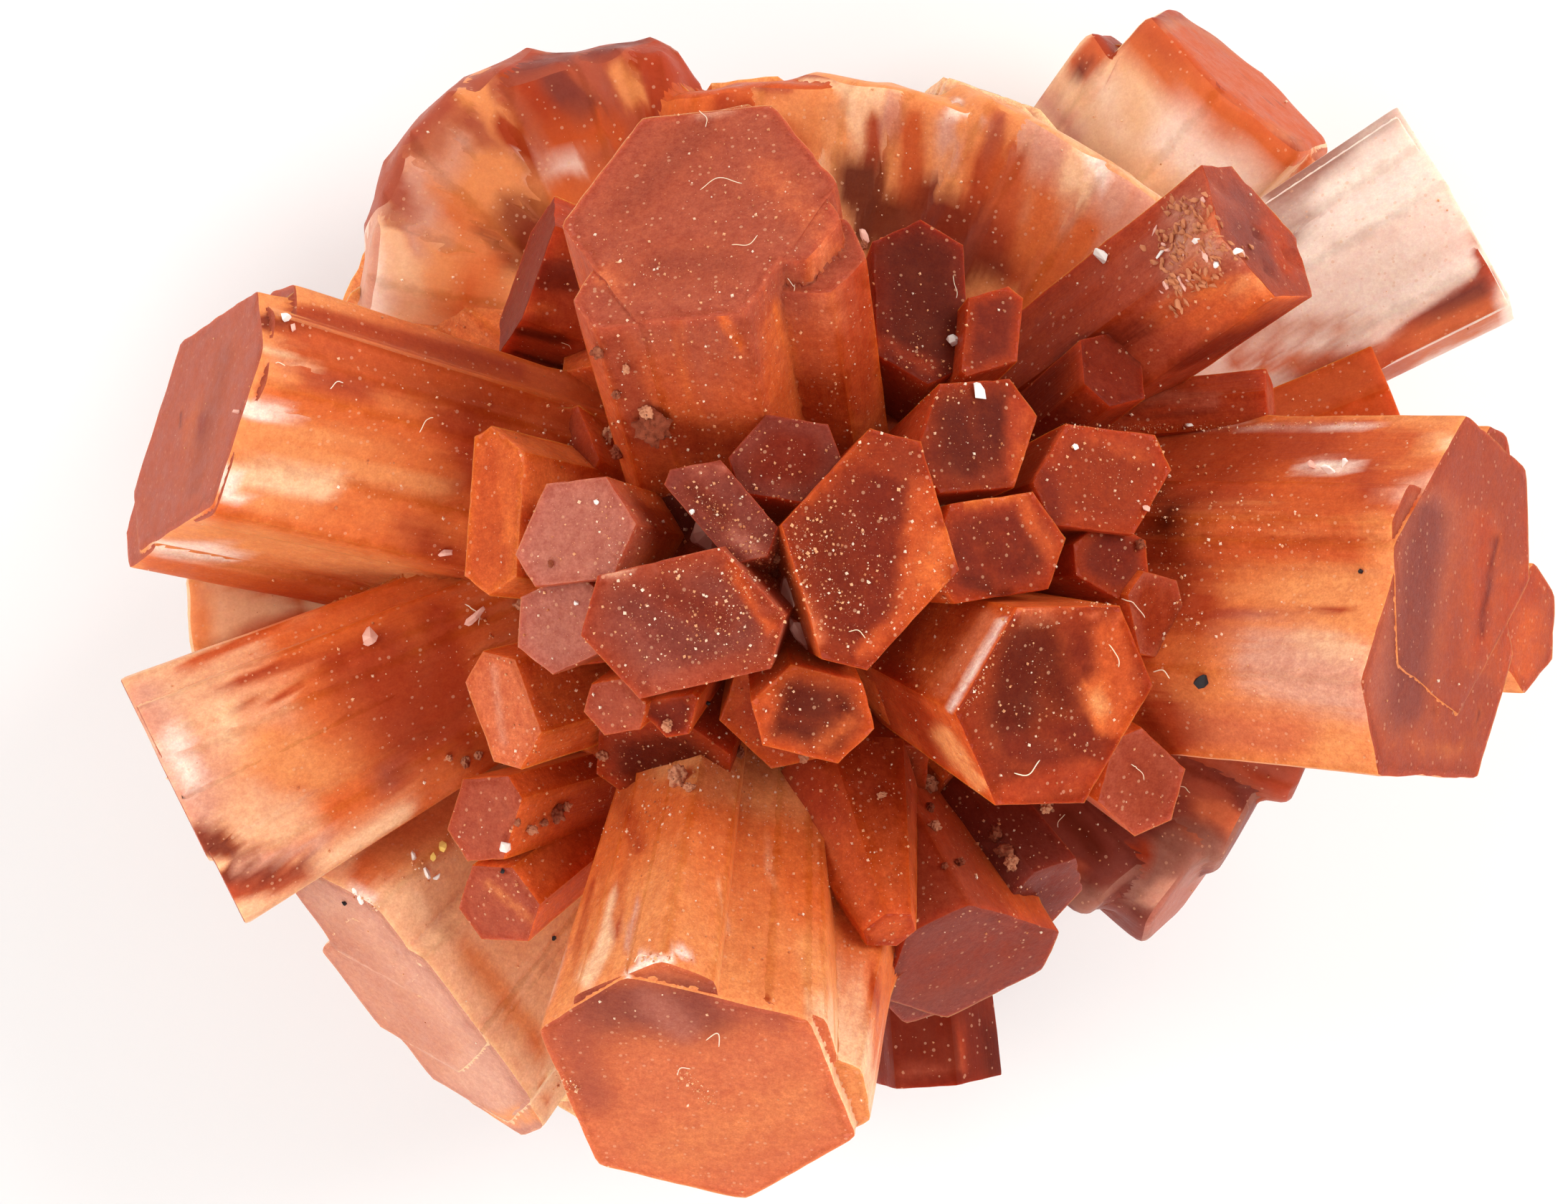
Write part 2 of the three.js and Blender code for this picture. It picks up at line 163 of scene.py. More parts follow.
def add_to_scene(thing, name):
    made = bpy.data.objects.new(name, thing)
    bpy.context.scene.collection.objects.link(made)
    return made


def make_lamp(number, power, place, colour):
    """A square soft lamp turned to the middle of the cluster."""
    lamp = bpy.data.lights.new(f"lamp_{number}", "AREA")
    lamp.size = LAMP_SIZE * MM
    lamp.energy = power
    lamp.color = colour
    made = add_to_scene(lamp, lamp.name)
    made.location = Vector(place) * MM
    middle = Vector((0, 0, CENTRE_HEIGHT)) * MM
    made.rotation_euler = (middle - made.location).to_track_quat("-Z", "Y").to_euler()
    made.visible_camera = False


def make_camera():
    camera = bpy.data.cameras.new("camera")
    camera.sensor_width = SENSOR
    camera.lens = SENSOR * CAMERA_DISTANCE / VIEW_WIDTH
    camera.clip_start = 10 * MM
    made = add_to_scene(camera, "camera")
    made.location = Vector((*CAMERA_SHIFT, CENTRE_HEIGHT + CAMERA_DISTANCE)) * MM
    bpy.context.scene.camera = made


def make_tent():
    world = bpy.data.worlds.new("white_tent")
    bpy.context.scene.world = world
    world.use_nodes = True
    tree = world.node_tree
    way = node(tree, "ShaderNodeTexCoord", output="Generated")
    height = node(tree, "ShaderNodeSeparateXYZ", {0: way}, "Z")
    connect(tree.nodes["Background"], {"Color": height.ramp(0.55, 0.9).mix(TENT_WHITE, TENT_TOP),
                                       "Strength": TENT_STRENGTH})


half = TABLE_SIZE / 2 * MM
table_mesh = bpy.data.meshes.new("table_top")
table_mesh.from_pydata([(-half, -half, 0), (half, -half, 0), (half, half, 0), (-half, half, 0)], [],
                       [(0, 1, 2, 3)])
table_mesh.materials.append(table_material())
table = add_to_scene(table_mesh, "table_top")
make_tent()
for number, lamp in enumerate(LAMPS):
    make_lamp(number, *lamp)
make_camera()
bpy.context.scene.view_settings.view_transform = "Standard"

# ---------------------------------------------------------------- one crystal of aragonite
# Each crystal is a six-sided prism of calcium carbonate with a flat end, narrower at its
# root than at its tip. Its sides carry fine ribs and grooves that run along it, its end
# has a faint relief, and its rim is worn.

STEEP = 0.7  # an axis that climbs more than this takes its bearings from +X
UP = np.array([0.0, 0.0, 1.0])
EAST = np.array([1.0, 0.0, 0.0])
FAR = 60.0  # well beyond every end face

BEVEL = 0.06  # width of the worn rim
CHIP = 0.18  # depth of the deepest chips in a rim
GROOVE = 0.08  # depth of the deepest grooves down the sides
RIB = 0.1  # how far the ribs between the grooves stand out
RIPPLE = 0.025  # height of the waves across the sides
DEEPEST = 0.8  # the furthest a rim may wear back, as a share of the way to the middle
RIM_RINGS = 3  # rings of points round a worn rim
ROUND_RINGS = 5  # rings of points round a rounded one
RELIEF = 0.03  # height of the relief on an end
SWELL = 0.18  # how far a rounded crystal bulges, as a share of its rounding
STAIN_AND_LIGHT_FADE = 0.2  # stains and painted light fade out on walls that look up less than this
FIRST_RING = 0.3  # from the rim to the first ring of points down the sides
ROW_GAP = 0.87  # between rows of points across an end, as a share of their spacing
CLEAR_GAP = 0.45  # those points stay this far inside the rim, as a share of it
RELIEF_EDGE = 0.4  # the relief of an end fades out this close to its rim
CHIPS_ABOVE = 0.55  # rims are chipped where a wave from -1 to 1 passes this
PITS_ABOVE = 0.72  # and ends are pitted where one passes this
SEED_SHIFT = np.array([17.1, 9.3])  # moves the pattern from one crystal to the next

# Wavelengths: the ridges down the sides, broad and fine, the chips and wear of the rim,
# the rounding, ripples and swells of the sides, and the relief and pits of the end.
RIDGES, FINE_RIDGES, CHIPS, WEAR = 1.6, 0.55, 1.3, 0.9
ROUNDNESS, RIPPLES, SWELLS = 2.5, 1.4, 3.6
BROAD_RELIEF, FINE_RELIEF, PITS = 1.7, 0.6, 0.9

# Shades of aragonite, as red, green and blue from 0 to 255.
SHADES = {
    "milk": (240, 216, 200),
    "cream": (232, 184, 144),
    "honey": (220, 138, 84),
    "orange": (206, 100, 48),
    "amber": (188, 80, 36),
    "rust": (162, 58, 27),
    "sienna": (141, 48, 20),
    "oxblood": (116, 35, 18),
    "umber": (94, 27, 11),
    # mauve is partly a painted sheen, the greyish tint of reflected light on ends seen at a slant
    "mauve": (172, 99, 82),
    "brick": (163, 77, 54),
    "coral": (200, 104, 66),
    "russet": (150, 62, 38),
    "blush": (188, 126, 104),
    "plum": (124, 55, 43),
    "rose": (206, 146, 122),
    "taupe": (156, 102, 86),
}
PARTS = ("heart", "margin", "tip", "middle", "root")  # the five shades of a crystal's look


def linear(shade):
    """A shade's light value, from its 0 to 255 screen value."""
    share = np.array(SHADES[shade]) / 255
    return np.where(share < 0.04045, share / 12.92, ((share + 0.055) / 1.055) ** 2.4)


def number_stream(seed):
    """Repeatable random numbers between 0 and 1."""
    state = seed
    while True:
        state = (state * 1664525 + 1013904223) & 0xFFFFFFFF
        yield state / 4294967296


def direction(heading, rise):
    """A direction from a compass heading (0 is +X, 90 is +Y) and a rise above level."""
    h, r = math.radians(heading), math.radians(rise)
    return np.array([math.cos(r) * math.cos(h), math.cos(r) * math.sin(h), math.sin(r)])


def across(axis):
    """The two directions across a crystal, in which its end face is laid out."""
    reference = EAST if abs(axis[2]) > STEEP else UP
    u = reference - reference.dot(axis) * axis
    u /= np.linalg.norm(u)
    return u, np.cross(axis, u)


def side_normals(lobe):
    """The way each of the six sides faces."""
    angles = np.radians(lobe["turn"] + 60 * np.arange(6))
    return np.stack([np.cos(angles), np.sin(angles)], 1)


def end_face(lobe):
    """The corners of a prism's end: six sides, each at its own distance from the middle."""
    outline = [np.array(p) for p in ((FAR, FAR), (-FAR, FAR), (-FAR, -FAR), (FAR, -FAR))]
    for normal, distance in zip(side_normals(lobe), lobe["sides"]):
        kept = []
        for a, b in zip(outline, outline[1:] + outline[:1]):
            da, db = a @ normal - distance, b @ normal - distance
            if da <= 0:
                kept.append(a)
            if (da < 0) != (db < 0):
                kept.append(a + (b - a) * da / (da - db))
        outline = kept
    return np.array(outline) + lobe["at"]


def inside_rim(points, lobes):
    """How far in from the rim of the whole end each point lies."""
    depths = []
    for lobe in lobes:
        away = (points - lobe["at"]) @ side_normals(lobe).T
        depths.append((np.array(lobe["sides"]) - away).min(1))
    return np.max(depths, 0)


def waves(points, wavelength, seed, count=9):
    """A smooth random height from -1 to 1 over points in one, two or three dimensions."""
    points = np.atleast_2d(points.T).T
    total = np.zeros(len(points))
    draw = np.random.default_rng(seed)
    for _ in range(count):
        way = draw.normal(size=points.shape[1])
        way *= 2 * math.pi / wavelength * draw.uniform(0.6, 1.5) / np.linalg.norm(way)
        total += np.cos(points @ way + draw.uniform(0, 2 * math.pi))
    return np.clip(total / math.sqrt(count) / 1.5, -1, 1)


def walk_round(corners, spacing):
    """Points round an outline about `spacing` apart, the way inwards at each, and how far
    each is from a corner.

    All the ways lead to the middle, so points that move in along them never cross.
    """
    points, inwards, gaps = [], [], []
    middle = corners.mean(0)
    for a, b in zip(corners, np.roll(corners, -1, 0)):
        length = max(np.linalg.norm(b - a), 1e-9)
        clear = ((a - middle) @ np.array([b[1] - a[1], a[0] - b[0]])) / length
        steps = max(1, round(length / spacing))
        for step in range(steps):
            points.append(a + (b - a) * step / steps)
            inwards.append((middle - points[-1]) / clear)
            gaps.append(min(step, steps - step) / steps * length)
    return np.array(points), np.array(inwards), np.array(gaps)


def fill_end(rim, spacing):
    """Triangles that fill an outline with points laid out on a grid inside it."""
    low, high = rim.min(0), rim.max(0)
    rows = []
    for j, y in enumerate(np.arange(low[1] + spacing / 2, high[1], spacing * ROW_GAP)):
        xs = np.arange(low[0] + (j % 2) * spacing / 2, high[0], spacing)
        rows += [(x, y) for x in xs]
    grid = np.array(rows).reshape(-1, 2)
    edges = np.roll(rim, -1, 0) - rim
    lengths = np.maximum(np.linalg.norm(edges, axis=1), 1e-9)
    away = grid[:, None] - rim
    gaps = (edges[:, 0] * away[..., 1] - edges[:, 1] * away[..., 0]) / lengths
    grid = grid[gaps.min(1) > spacing * CLEAR_GAP]
    points = [Vector(p) for p in np.vstack([rim, grid])]
    made = geometry.delaunay_2d_cdt(points, [], [list(range(len(rim)))], 1, 1e-7)
    return np.array([tuple(p) for p in made[0]]), made[2]


def rings_of(crystal, outline, reach, seed):
    """How far in and how deep each ring of points lies, from the end down to the root."""
    worn = crystal["ribbing"] * CHIP * np.clip(waves(outline, CHIPS, seed + 2) - CHIPS_ABOVE, 0, 1)
    bevel = BEVEL * (1 + 0.4 * waves(outline, WEAR, seed + 3))
    size = bevel + worn + crystal["rounding"] * (1 + 0.5 * waves(outline, ROUNDNESS, seed + 8))
    rings = []
    for angle in np.linspace(0, math.pi / 2, ROUND_RINGS if crystal["rounding"] else RIM_RINGS):
        rings.append((size * (1 - math.sin(angle)), size * (1 - math.cos(angle))))
    along = size.max() + FIRST_RING
    while along < reach - crystal["buried"]:
        rings.append((0 * bevel, np.full(len(outline), along)))
        along += crystal["ring_step"]
    return rings + [(0 * bevel, np.full(len(outline), reach))]


def shape_prism(crystal, lobe, seed):
    """The points and triangles of one prism, with each point's place on the crystal."""
    reach = crystal["length"] - lobe["step"]
    outline, inward, gap = walk_round(end_face(lobe), crystal["spacing"])
    ridges = 1 - np.abs(waves(outline, RIDGES, seed))
    fine = 1 - np.abs(waves(outline, FINE_RIDGES, seed + 1))
    groove = crystal["ribbing"] * (GROOVE * (ridges ** 7 + 0.35 * fine ** 4) - RIB)
    rings = rings_of(crystal, outline, reach, seed)
    flats = []
    for inset, depth in rings:
        ripple = waves(np.column_stack([outline * 0.4, depth]), RIPPLES, seed + 4)
        ripple = crystal["ribbing"] * RIPPLE * (1 + ripple)
        swell = waves(np.column_stack([outline, depth]), SWELLS, seed + 9)
        swell = SWELL * crystal["rounding"] * (1 + swell)
        pulled = inset + groove + swell + np.where(depth > 0, ripple, 0)
        pulled = np.minimum(pulled, DEEPEST * min(lobe["sides"]))
        flats.append(outline + inward * pulled[:, None])

    across_end, end_tris = fill_end(flats[0], crystal["end_spacing"])
    count = len(outline)
    relief = RELIEF * (0.6 + 0.4 * waves(across_end, BROAD_RELIEF, crystal["seed"] + 5))
    relief += 0.35 * RELIEF * waves(across_end, FINE_RELIEF, crystal["seed"] + 6)
    pits = np.clip(waves(across_end, PITS, crystal["seed"] + 7) - PITS_ABOVE, 0, 1)
    fade = np.clip(inside_rim(across_end, [lobe]) / RELIEF_EDGE, 0, 1)
    sunk = (relief + crystal["pits"] * pits) * fade
    depths = [depth for _, depth in rings]
    depths[0] = depths[0] + sunk[:count]

    inside = inside_rim(across_end, crystal["lobes"])
    on_end = [np.maximum(0, inside[:count] - rings[0][0])]
    edge = np.concatenate(on_end + [gap] * (len(rings) - 1) + [inside[count:], [0]])
    across_all = np.vstack(flats + [across_end[count:], flats[-1].mean(0, keepdims=True)])
    along_all = np.concatenate(depths + [sunk[count:], [reach]])

    here = np.arange(count)
    after = (here + 1) % count
    last = (len(rings) - 1) * count
    end_tris = np.array(end_tris)
    tris = [np.where(end_tris < count, end_tris, end_tris + last)]
    for top in range(0, last, count):
        low = top + count
        tris.append(np.column_stack([top + here, low + here, low + after]))
        tris.append(np.column_stack([top + here, low + after, top + after]))
    tris.append(np.column_stack([last + here, np.full(count, len(across_all) - 1), last + after]))
    rim_bands = 4 if crystal["rounding"] else 2
    is_end = np.concatenate([np.full(len(t), k <= rim_bands) for k, t in enumerate(tris)])
    taper = 1 - (1 - crystal["root"]) * along_all / reach
    flat = across_all * taper[:, None]
    return across_all, along_all + lobe["step"], flat, edge, np.vstack(tris), is_end


def store(mesh, **values):
    """Stores numbers, directions or colours on the corners of a mesh's faces."""
    kinds = {1: ("FLOAT", "value"), 3: ("FLOAT_VECTOR", "vector"), 4: ("FLOAT_COLOR", "color")}
    for name, value in values.items():
        value = np.asarray(value, np.float32)
        kind, field = kinds[value.size // len(value)]
        mesh.attributes.new(name, kind, "CORNER").data.foreach_set(field, value.ravel())


def look_colours(look, count):
    """The five shades of a look, each repeated for every corner."""
    return {part: np.tile([*linear(shade), 1.0], (count, 1))
            for part, shade in zip(PARTS, look.split())}


def seen_from_above(points):
    """Where points show on the level of the centre of growth, as the camera sees them."""
    away = CAMERA_DISTANCE / (CAMERA_DISTANCE - points[:, 2])
    return (points[:, :2] - CAMERA_SHIFT) * away[:, None] + CAMERA_SHIFT


def faces_up(points, tris):
    """How far each triangle looks up: 1 when it lies level, 0 when it stands upright."""
    a, b, c = (points[tris[:, k]] for k in range(3))
    normals = np.cross(b - a, c - a)
    return normals[:, 2] / np.maximum(np.linalg.norm(normals, axis=1), 1e-12)


def stain_of(crystal, points, is_end):
    """The colour of a crystal's own stains and painted light and shade at each point, and their strength.
    """
    places = seen_from_above(points)
    colour = np.tile(linear(crystal["look"].split()[3]), (len(points), 1))
    cover = np.zeros(len(points))
    for part, shade, strength, half_width, x, y, to_x, to_y in crystal["stains"]:
        start, run = np.array([x, y]), np.array([to_x - x, to_y - y])
        share = np.clip((places - start) @ run / max(run @ run, 1e-9), 0, 1)
        gap = np.linalg.norm(places - start - share[:, None] * run, axis=1)
        weight = np.clip(1 - gap / half_width, 0, 1)
        weight = strength * weight * weight * (3 - 2 * weight) * (is_end == (part == "end"))
        colour += (linear(shade) - colour) * np.minimum(1, weight * 1.6)[:, None]
        cover = 1 - (1 - cover) * (1 - weight)
    return np.column_stack([colour, cover])


def prism_object(crystal, lobe, seed):
    """One closed prism, with what its material reads stored on the corners of its faces."""
    across_all, along, flat, edge, tris, is_end = shape_prism(crystal, lobe, seed)
    axis = direction(crystal["heading"], crystal["rise"])
    u, v = across(axis)
    points = (np.array(crystal["tip"]) - np.outer(along, axis)
              + np.outer(flat[:, 0], u) + np.outer(flat[:, 1], v))
    mesh = bpy.data.meshes.new("prism")
    mesh.vertices.add(len(points))
    mesh.vertices.foreach_set("co", ((points + (0, 0, CENTRE_HEIGHT)) * MM).astype(np.float32).ravel())
    mesh.loops.add(len(tris) * 3)
    mesh.loops.foreach_set("vertex_index", tris.astype(np.int32).ravel())
    mesh.polygons.add(len(tris))
    mesh.polygons.foreach_set("loop_start", np.arange(0, len(tris) * 3, 3, dtype=np.int32))
    mesh.update(calc_edges=True)

    corners = tris.ravel()
    count = len(corners)
    offset = SEED_SHIFT * crystal["seed"]
    stain = stain_of(crystal, points[corners], np.repeat(is_end, 3))
    stain[:, 3] *= np.repeat(np.clip(faces_up(points, tris) / STAIN_AND_LIGHT_FADE, 0, 1), 3)
    store(mesh, grain=np.column_stack([across_all + offset, along])[corners], stain=stain,
          rim=(inside_rim(across_all, crystal["lobes"]) / crystal["half"])[corners],
          edge=edge[corners], depth=(along / crystal["length"])[corners], end=np.repeat(is_end, 3),
          crisp=np.full(count, crystal["crisp"]), melt=np.full(count, crystal["melt"]),
          **look_colours(crystal["look"], count))
    return bpy.data.objects.new("prism", mesh)


def lobes_of(rows):
    """The parallel prisms of a pillar: place across it, turn, side distances and step."""
    return [dict(at=(x, y), turn=turn, sides=sides, step=step[0] if step else 0.0)
            for x, y, turn, sides, *step in rows]


prisms = []
# The spacing of points round a crystal, across its end and along it; how much of its root
# is buried; how pitted, rounded and ribbed it is; how crisp its streaks and melted its
# creases are.
USUAL = dict(spacing=0.3, end_spacing=0.4, ring_step=0.9, buried=4.0, pits=0.25, rounding=0.0,
             ribbing=1.0, crisp=1.0, melt=0, stains=())


def grow(**own):
    """Grows one crystal, or a pillar of several parallel ones, from the centre to its tip."""
    crystal = {**USUAL, **own, "seed": len(prisms)}
    crystal["half"] = max(min(lobe["sides"]) for lobe in crystal["lobes"])
    for number, lobe in enumerate(crystal["lobes"]):
        prisms.append(prism_object(crystal, lobe, 1000 + 10 * len(prisms) + number))


# ---------------------------------------------------------------- pillars
# The largest crystals, each grown from several parallel prisms that share one end. They
# reach furthest out, so they are cleanest: cream and orange at the tip, redder inside.
# A look is the shade of the end's middle, the end's margin, and the tip, middle and root
# of the sides. A prism is its place across the pillar, its turn, the distances of its six
# sides, and how far short of the tip it ends.

PILLARS = {
    "north west prism": dict(
        look="oxblood oxblood rust rust oxblood", tip=(-7.6, 9.2, 2.4), heading=160, rise=12,
        length=9, root=0.85, crisp=0.8, lobes=[
            (0, 0, 4, (1.9, 2.2, 2.1, 1.8, 2.2, 2.3))]),
    "right pillar": dict(
        look="russet russet honey orange amber", tip=(20.2, -1.1, 8), heading=-3, rise=30,
        length=22, root=0.85, crisp=0.7, melt=1, lobes=[
            (-1.2, -1.6, 12, (4.9, 4.5, 3.5, 4.4, 3.85, 3.5)),
            (0.6, 1.8, 30, (4.5, 3.2, 4.6, 5.1, 3.4, 4.0), 0.05),
            (-6.7, 0.5, 0, (1.6, 1.7, 1.7, 1.9, 1.9, 1.7), 0.4),
            (-3.2, -4.0, 20, (1.3, 1.2, 1.2, 1.3, 1.5, 1.3), 0.2),
            (2.6, -2.4, 18, (1.2, 1.0, 1.3, 1.1, 1.2, 1.0), 0.1)]),
    "upper pillar": dict(
        look="brick brick brick amber rust", tip=(-2.2, 10.5, 12.5), heading=102, rise=49,
        length=14, root=0.88, melt=1, lobes=[
            (0, 0, 30, (3.95, 4.2, 3.6, 3.5, 4.05, 3.15)),
            (-1.6, -2.3, 30, (2.5, 1.6, 1.6, 2.1, 1.7, 2.0), 0.1),
            (1.3, 2.5, 40, (1.4, 1.9, 1.6, 1.5, 1.5, 1.2), 0.1),
            (2.4, -0.6, 24, (1.6, 1.5, 1.2, 1.2, 1.4, 1.5), 0.05),
            (3.1, -1.0, 20, (1.5, 1.5, 1.4, 1.5, 1.4, 1.5), 1.1)]),
    "front pillar": dict(
        look="coral coral honey orange orange", tip=(-2.2, -15.2, 11), heading=-97, rise=43,
        length=18, root=0.55, ribbing=0.6, crisp=0.8, melt=2, lobes=[
            (0, 0, 50, (4.8, 4.1, 4.8, 4.7, 4.0, 4.0)),
            (2.2, 1.6, 40, (2.3, 2.2, 2.0, 2.0, 2.1, 2.9), 0.1),
            (1.9, -2.2, 46, (1.7, 1.6, 1.7, 1.6, 1.6, 1.7), 0.3)]),
    "front side crystal": dict(
        look="honey honey cream orange amber", tip=(0.8, -15.6, 10.1), heading=-101, rise=42,
        length=12, root=0.95, crisp=0.8, melt=2, lobes=[
            (0, 0, 46, (2.2, 1.8, 1.9, 2.0, 2.0, 2.1))]),
    "left pillar": dict(
        look="brick brick honey orange rust", tip=(-17.5, 4.5, 6), heading=166, rise=22,
        length=18, root=0.8, crisp=0.45, melt=2, lobes=[
            (0, 0, 48, (5.0, 3.3, 3.9, 4.8, 3.2, 3.9)),
            (2.3, 2.2, 20, (2.1, 1.8, 1.8, 2.0, 2.0, 2.2), 0.3),
            (-2.6, -2.9, 50, (1.5, 1.5, 1.8, 1.9, 1.5, 1.4), 0.1),
            (1.4, 3.2, 40, (1.8, 1.4, 1.6, 1.5, 1.6, 1.7), 1.2),
            (2.4, -1.4, 44, (1.7, 1.4, 1.5, 1.4, 1.3, 1.4), 0.1)]),
    "lower left pillar": dict(
        look="cream brick cream orange rust", tip=(-18.2, -7.0, 3), heading=206, rise=4,
        length=19, root=0.5, crisp=0.45, melt=2, lobes=[
            (0, 1.1, 30, (3.4, 3.0, 3.4, 3.4, 3.1, 3.3)),
            (-0.3, -2.3, 24, (2.5, 2.1, 2.2, 2.3, 1.8, 2.5), 0.15),
            (2.0, 1.5, 36, (1.9, 1.5, 1.4, 1.5, 1.6, 1.7), 0.1)]),
    "short left crystal": dict(
        look="cream cream cream cream honey", tip=(-18.2, -1.4, -2), heading=184, rise=0,
        length=17, root=0.62, rounding=0.4, crisp=0.1, melt=3, lobes=[
            (0, 0, 6, (2.6, 2.2, 2.2, 2.4, 2.0, 2.4)),
            (1.0, 1.4, 20, (1.3, 1.2, 1.2, 1.1, 1.3, 1.2), 0.5)]),
    "bottom left pillar": dict(
        look="rose blush cream honey orange", tip=(-10.7, -14.0, 0), heading=229, rise=25,
        length=18, root=0.6, crisp=0.5, melt=2, lobes=[
            (1.9, 3.5, 29, (2.3, 2.4, 2.0, 1.9, 2.2, 2.2)),
            (0.5, 1.2, 29, (3.1, 2.8, 3.0, 3.1, 2.9, 2.8)),
            (-0.7, -1.3, 29, (2.6, 2.6, 2.5, 2.4, 2.6, 2.6), 0.03),
            (-1.2, -2.9, 20, (1.8, 1.7, 1.5, 1.5, 1.7, 1.8), 0.06)]),
    "glowing pillar": dict(
        look="sienna rust cream cream rust", tip=(14.6, 16.2, -8), heading=50, rise=15,
        length=21, root=0.6, rounding=0.4, ribbing=0.6, crisp=0.1, melt=3, lobes=[
            (0, 0, 22, (4.0, 3.9, 3.8, 3.3, 3.1, 3.3)),
            (-0.6, 2.6, 30, (2.3, 1.7, 2.0, 2.2, 2.0, 2.1), 0.2),
            (0.2, -3.1, 12, (1.7, 1.5, 1.4, 1.6, 1.2, 1.3), 1.8)]),
    "white pillar": dict(
        look="milk milk milk milk honey", tip=(21.4, 11.5, -4), heading=30, rise=2,
        length=22, root=0.6, ribbing=0.2, crisp=0.12, melt=2, lobes=[
            (0, 0, 18, (3.4, 3.7, 3.6, 3.2, 3.4, 3.4)),
            (1.6, 2.0, 30, (1.6, 1.5, 1.4, 1.5, 1.5, 1.6), 0.15),
            (0.8, -2.0, 24, (1.8, 1.5, 1.4, 1.6, 1.3, 1.8), 0.2)]),
    "pitted prism": dict(
        look="plum russet brick rust oxblood", tip=(14.8, 10.1, 6), heading=36, rise=27,
        length=15, root=0.8, pits=0.8, crisp=0.9, lobes=[
            (0, 0, 15, (2.2, 2.0, 1.9, 1.9, 2.6, 2.3))]),
    "lower right pillar": dict(
        look="plum plum russet rust oxblood", tip=(6.0, -11.7, 5), heading=-62, rise=33,
        length=13, root=0.7, crisp=0.8, melt=1, lobes=[
            (0, 0, 57, (2.7, 2.5, 2.6, 2.9, 1.9, 2.9)),
            (-0.6, 1.4, 40, (1.6, 1.5, 1.7, 1.6, 1.5, 1.6), 0.15)]),
    "lower right second": dict(
        look="oxblood plum plum oxblood umber", tip=(8.1, -10.1, 3), heading=-52, rise=26,
        length=11, root=0.9, crisp=0.7, lobes=[
            (0, 0, 20, (1.7, 1.6, 1.8, 1.7, 1.5, 1.8))]),
    "dark lower prism": dict(
        look="oxblood oxblood oxblood oxblood umber", tip=(5.1, -15.9, -4), heading=-85, rise=-4,
        length=15, root=0.75, crisp=0.5, melt=1, lobes=[
            (0, 0, 12, (2.0, 1.8, 1.9, 2.1, 1.8, 1.9))]),
    "back right prism": dict(
        look="taupe taupe plum plum umber", tip=(13.2, -10.0, -7), heading=-38, rise=12,
        length=15, root=0.6, rounding=0.3, crisp=0.3, melt=8, lobes=[
            (0, 0, 14, (2.3, 2.3, 2.3, 2.2, 2.3, 2.3))]),
    "back right stub": dict(
        look="plum taupe plum oxblood umber", tip=(10.8, -10.2, -6), heading=-48, rise=4,
        length=14, root=0.6, rounding=0.5, crisp=0.2, melt=8, lobes=[
            (0, 0, 40, (1.6, 1.5, 1.6, 1.5, 1.6, 1.5))]),
    "back right second": dict(
        look="plum taupe plum russet umber", tip=(15.0, -8.0, -7), heading=-29, rise=6,
        length=15, root=0.7, rounding=0.4, crisp=0.3, melt=8, lobes=[
            (0, 0, 8, (1.9, 2.0, 1.9, 1.8, 2.0, 1.9))]),
    "far right stub": dict(
        look="plum brick brick rust umber", tip=(16.9, -6.1, -6), heading=-23, rise=3,
        length=15, root=0.6, rounding=0.4, crisp=0.3, melt=6, lobes=[
            (0, 0, 5, (1.5, 1.5, 1.4, 1.5, 1.4, 1.5))]),
    "red spur": dict(
        look="amber amber amber amber rust", tip=(19.2, 5.5, -1), heading=22, rise=3,
        length=14, root=0.8, crisp=0.4, lobes=[
            (0, 0, 20, (1.6, 1.5, 1.5, 1.6, 1.5, 1.6))]),
}

# Two fans of crystals grown side by side, north of the upper pillar: a worn, lumpy one to
# the west and a fibrous one to the east. Tip x, y, z, heading, rise, half width, thickness,
# turn and look of each crystal.
WORN_FAN = [
    (-13.0, 10.1, -5.9, 170, 3, 2.3, 2.6, 2, "rose rose cream honey orange"),
    (-12.3, 12.8, -6.0, 152, 3, 2.4, 2.7, -3, "brick brick rose honey orange"),
    (-11.2, 14.6, -5.9, 136, 3, 2.4, 2.7, 3, "brick brick brick honey orange"),
    (-9.7, 15.7, -6.1, 123, 3, 2.5, 2.8, -2, "brick brick brick honey orange"),
    (-7.6, 16.2, -6.0, 108, 3, 2.6, 2.7, 3, "plum brick brick orange rust"),
    (-5.6, 16.7, -6.2, 107, 3, 2.0, 2.6, -3, "plum brick brick amber rust"),
    (-4.1, 16.7, -6.1, 97, 3, 1.4, 2.4, 3, "rust rust rust rust oxblood"),
]
FIBROUS_FAN = [
    (-1.4, 15.4, -5.0, 97, 3, 2.6, 2.6, 2, "amber amber orange amber rust"),
    (1.2, 15.5, -4.8, 88, 3, 2.8, 2.6, -2, "amber amber honey orange rust"),
    (3.7, 15.4, -4.5, 78, 3, 2.8, 2.7, 3, "honey honey cream honey amber"),
    (5.9, 14.7, -4.2, 69, 3, 2.8, 2.6, -3, "honey honey honey honey amber"),
    (8.0, 14.4, -3.8, 63, 3, 2.6, 2.6, 2, "honey honey honey orange rust"),
    (9.5, 13.6, -3.4, 60, 3, 2.4, 2.6, -2, "cream honey rose honey rust"),
    (11.3, 12.4, -3.1, 57, 3, 2.2, 2.6, 2, "cream honey rose orange rust"),
]
FAN_LENGTH = 14.0
FAN_ROOT = 0.55
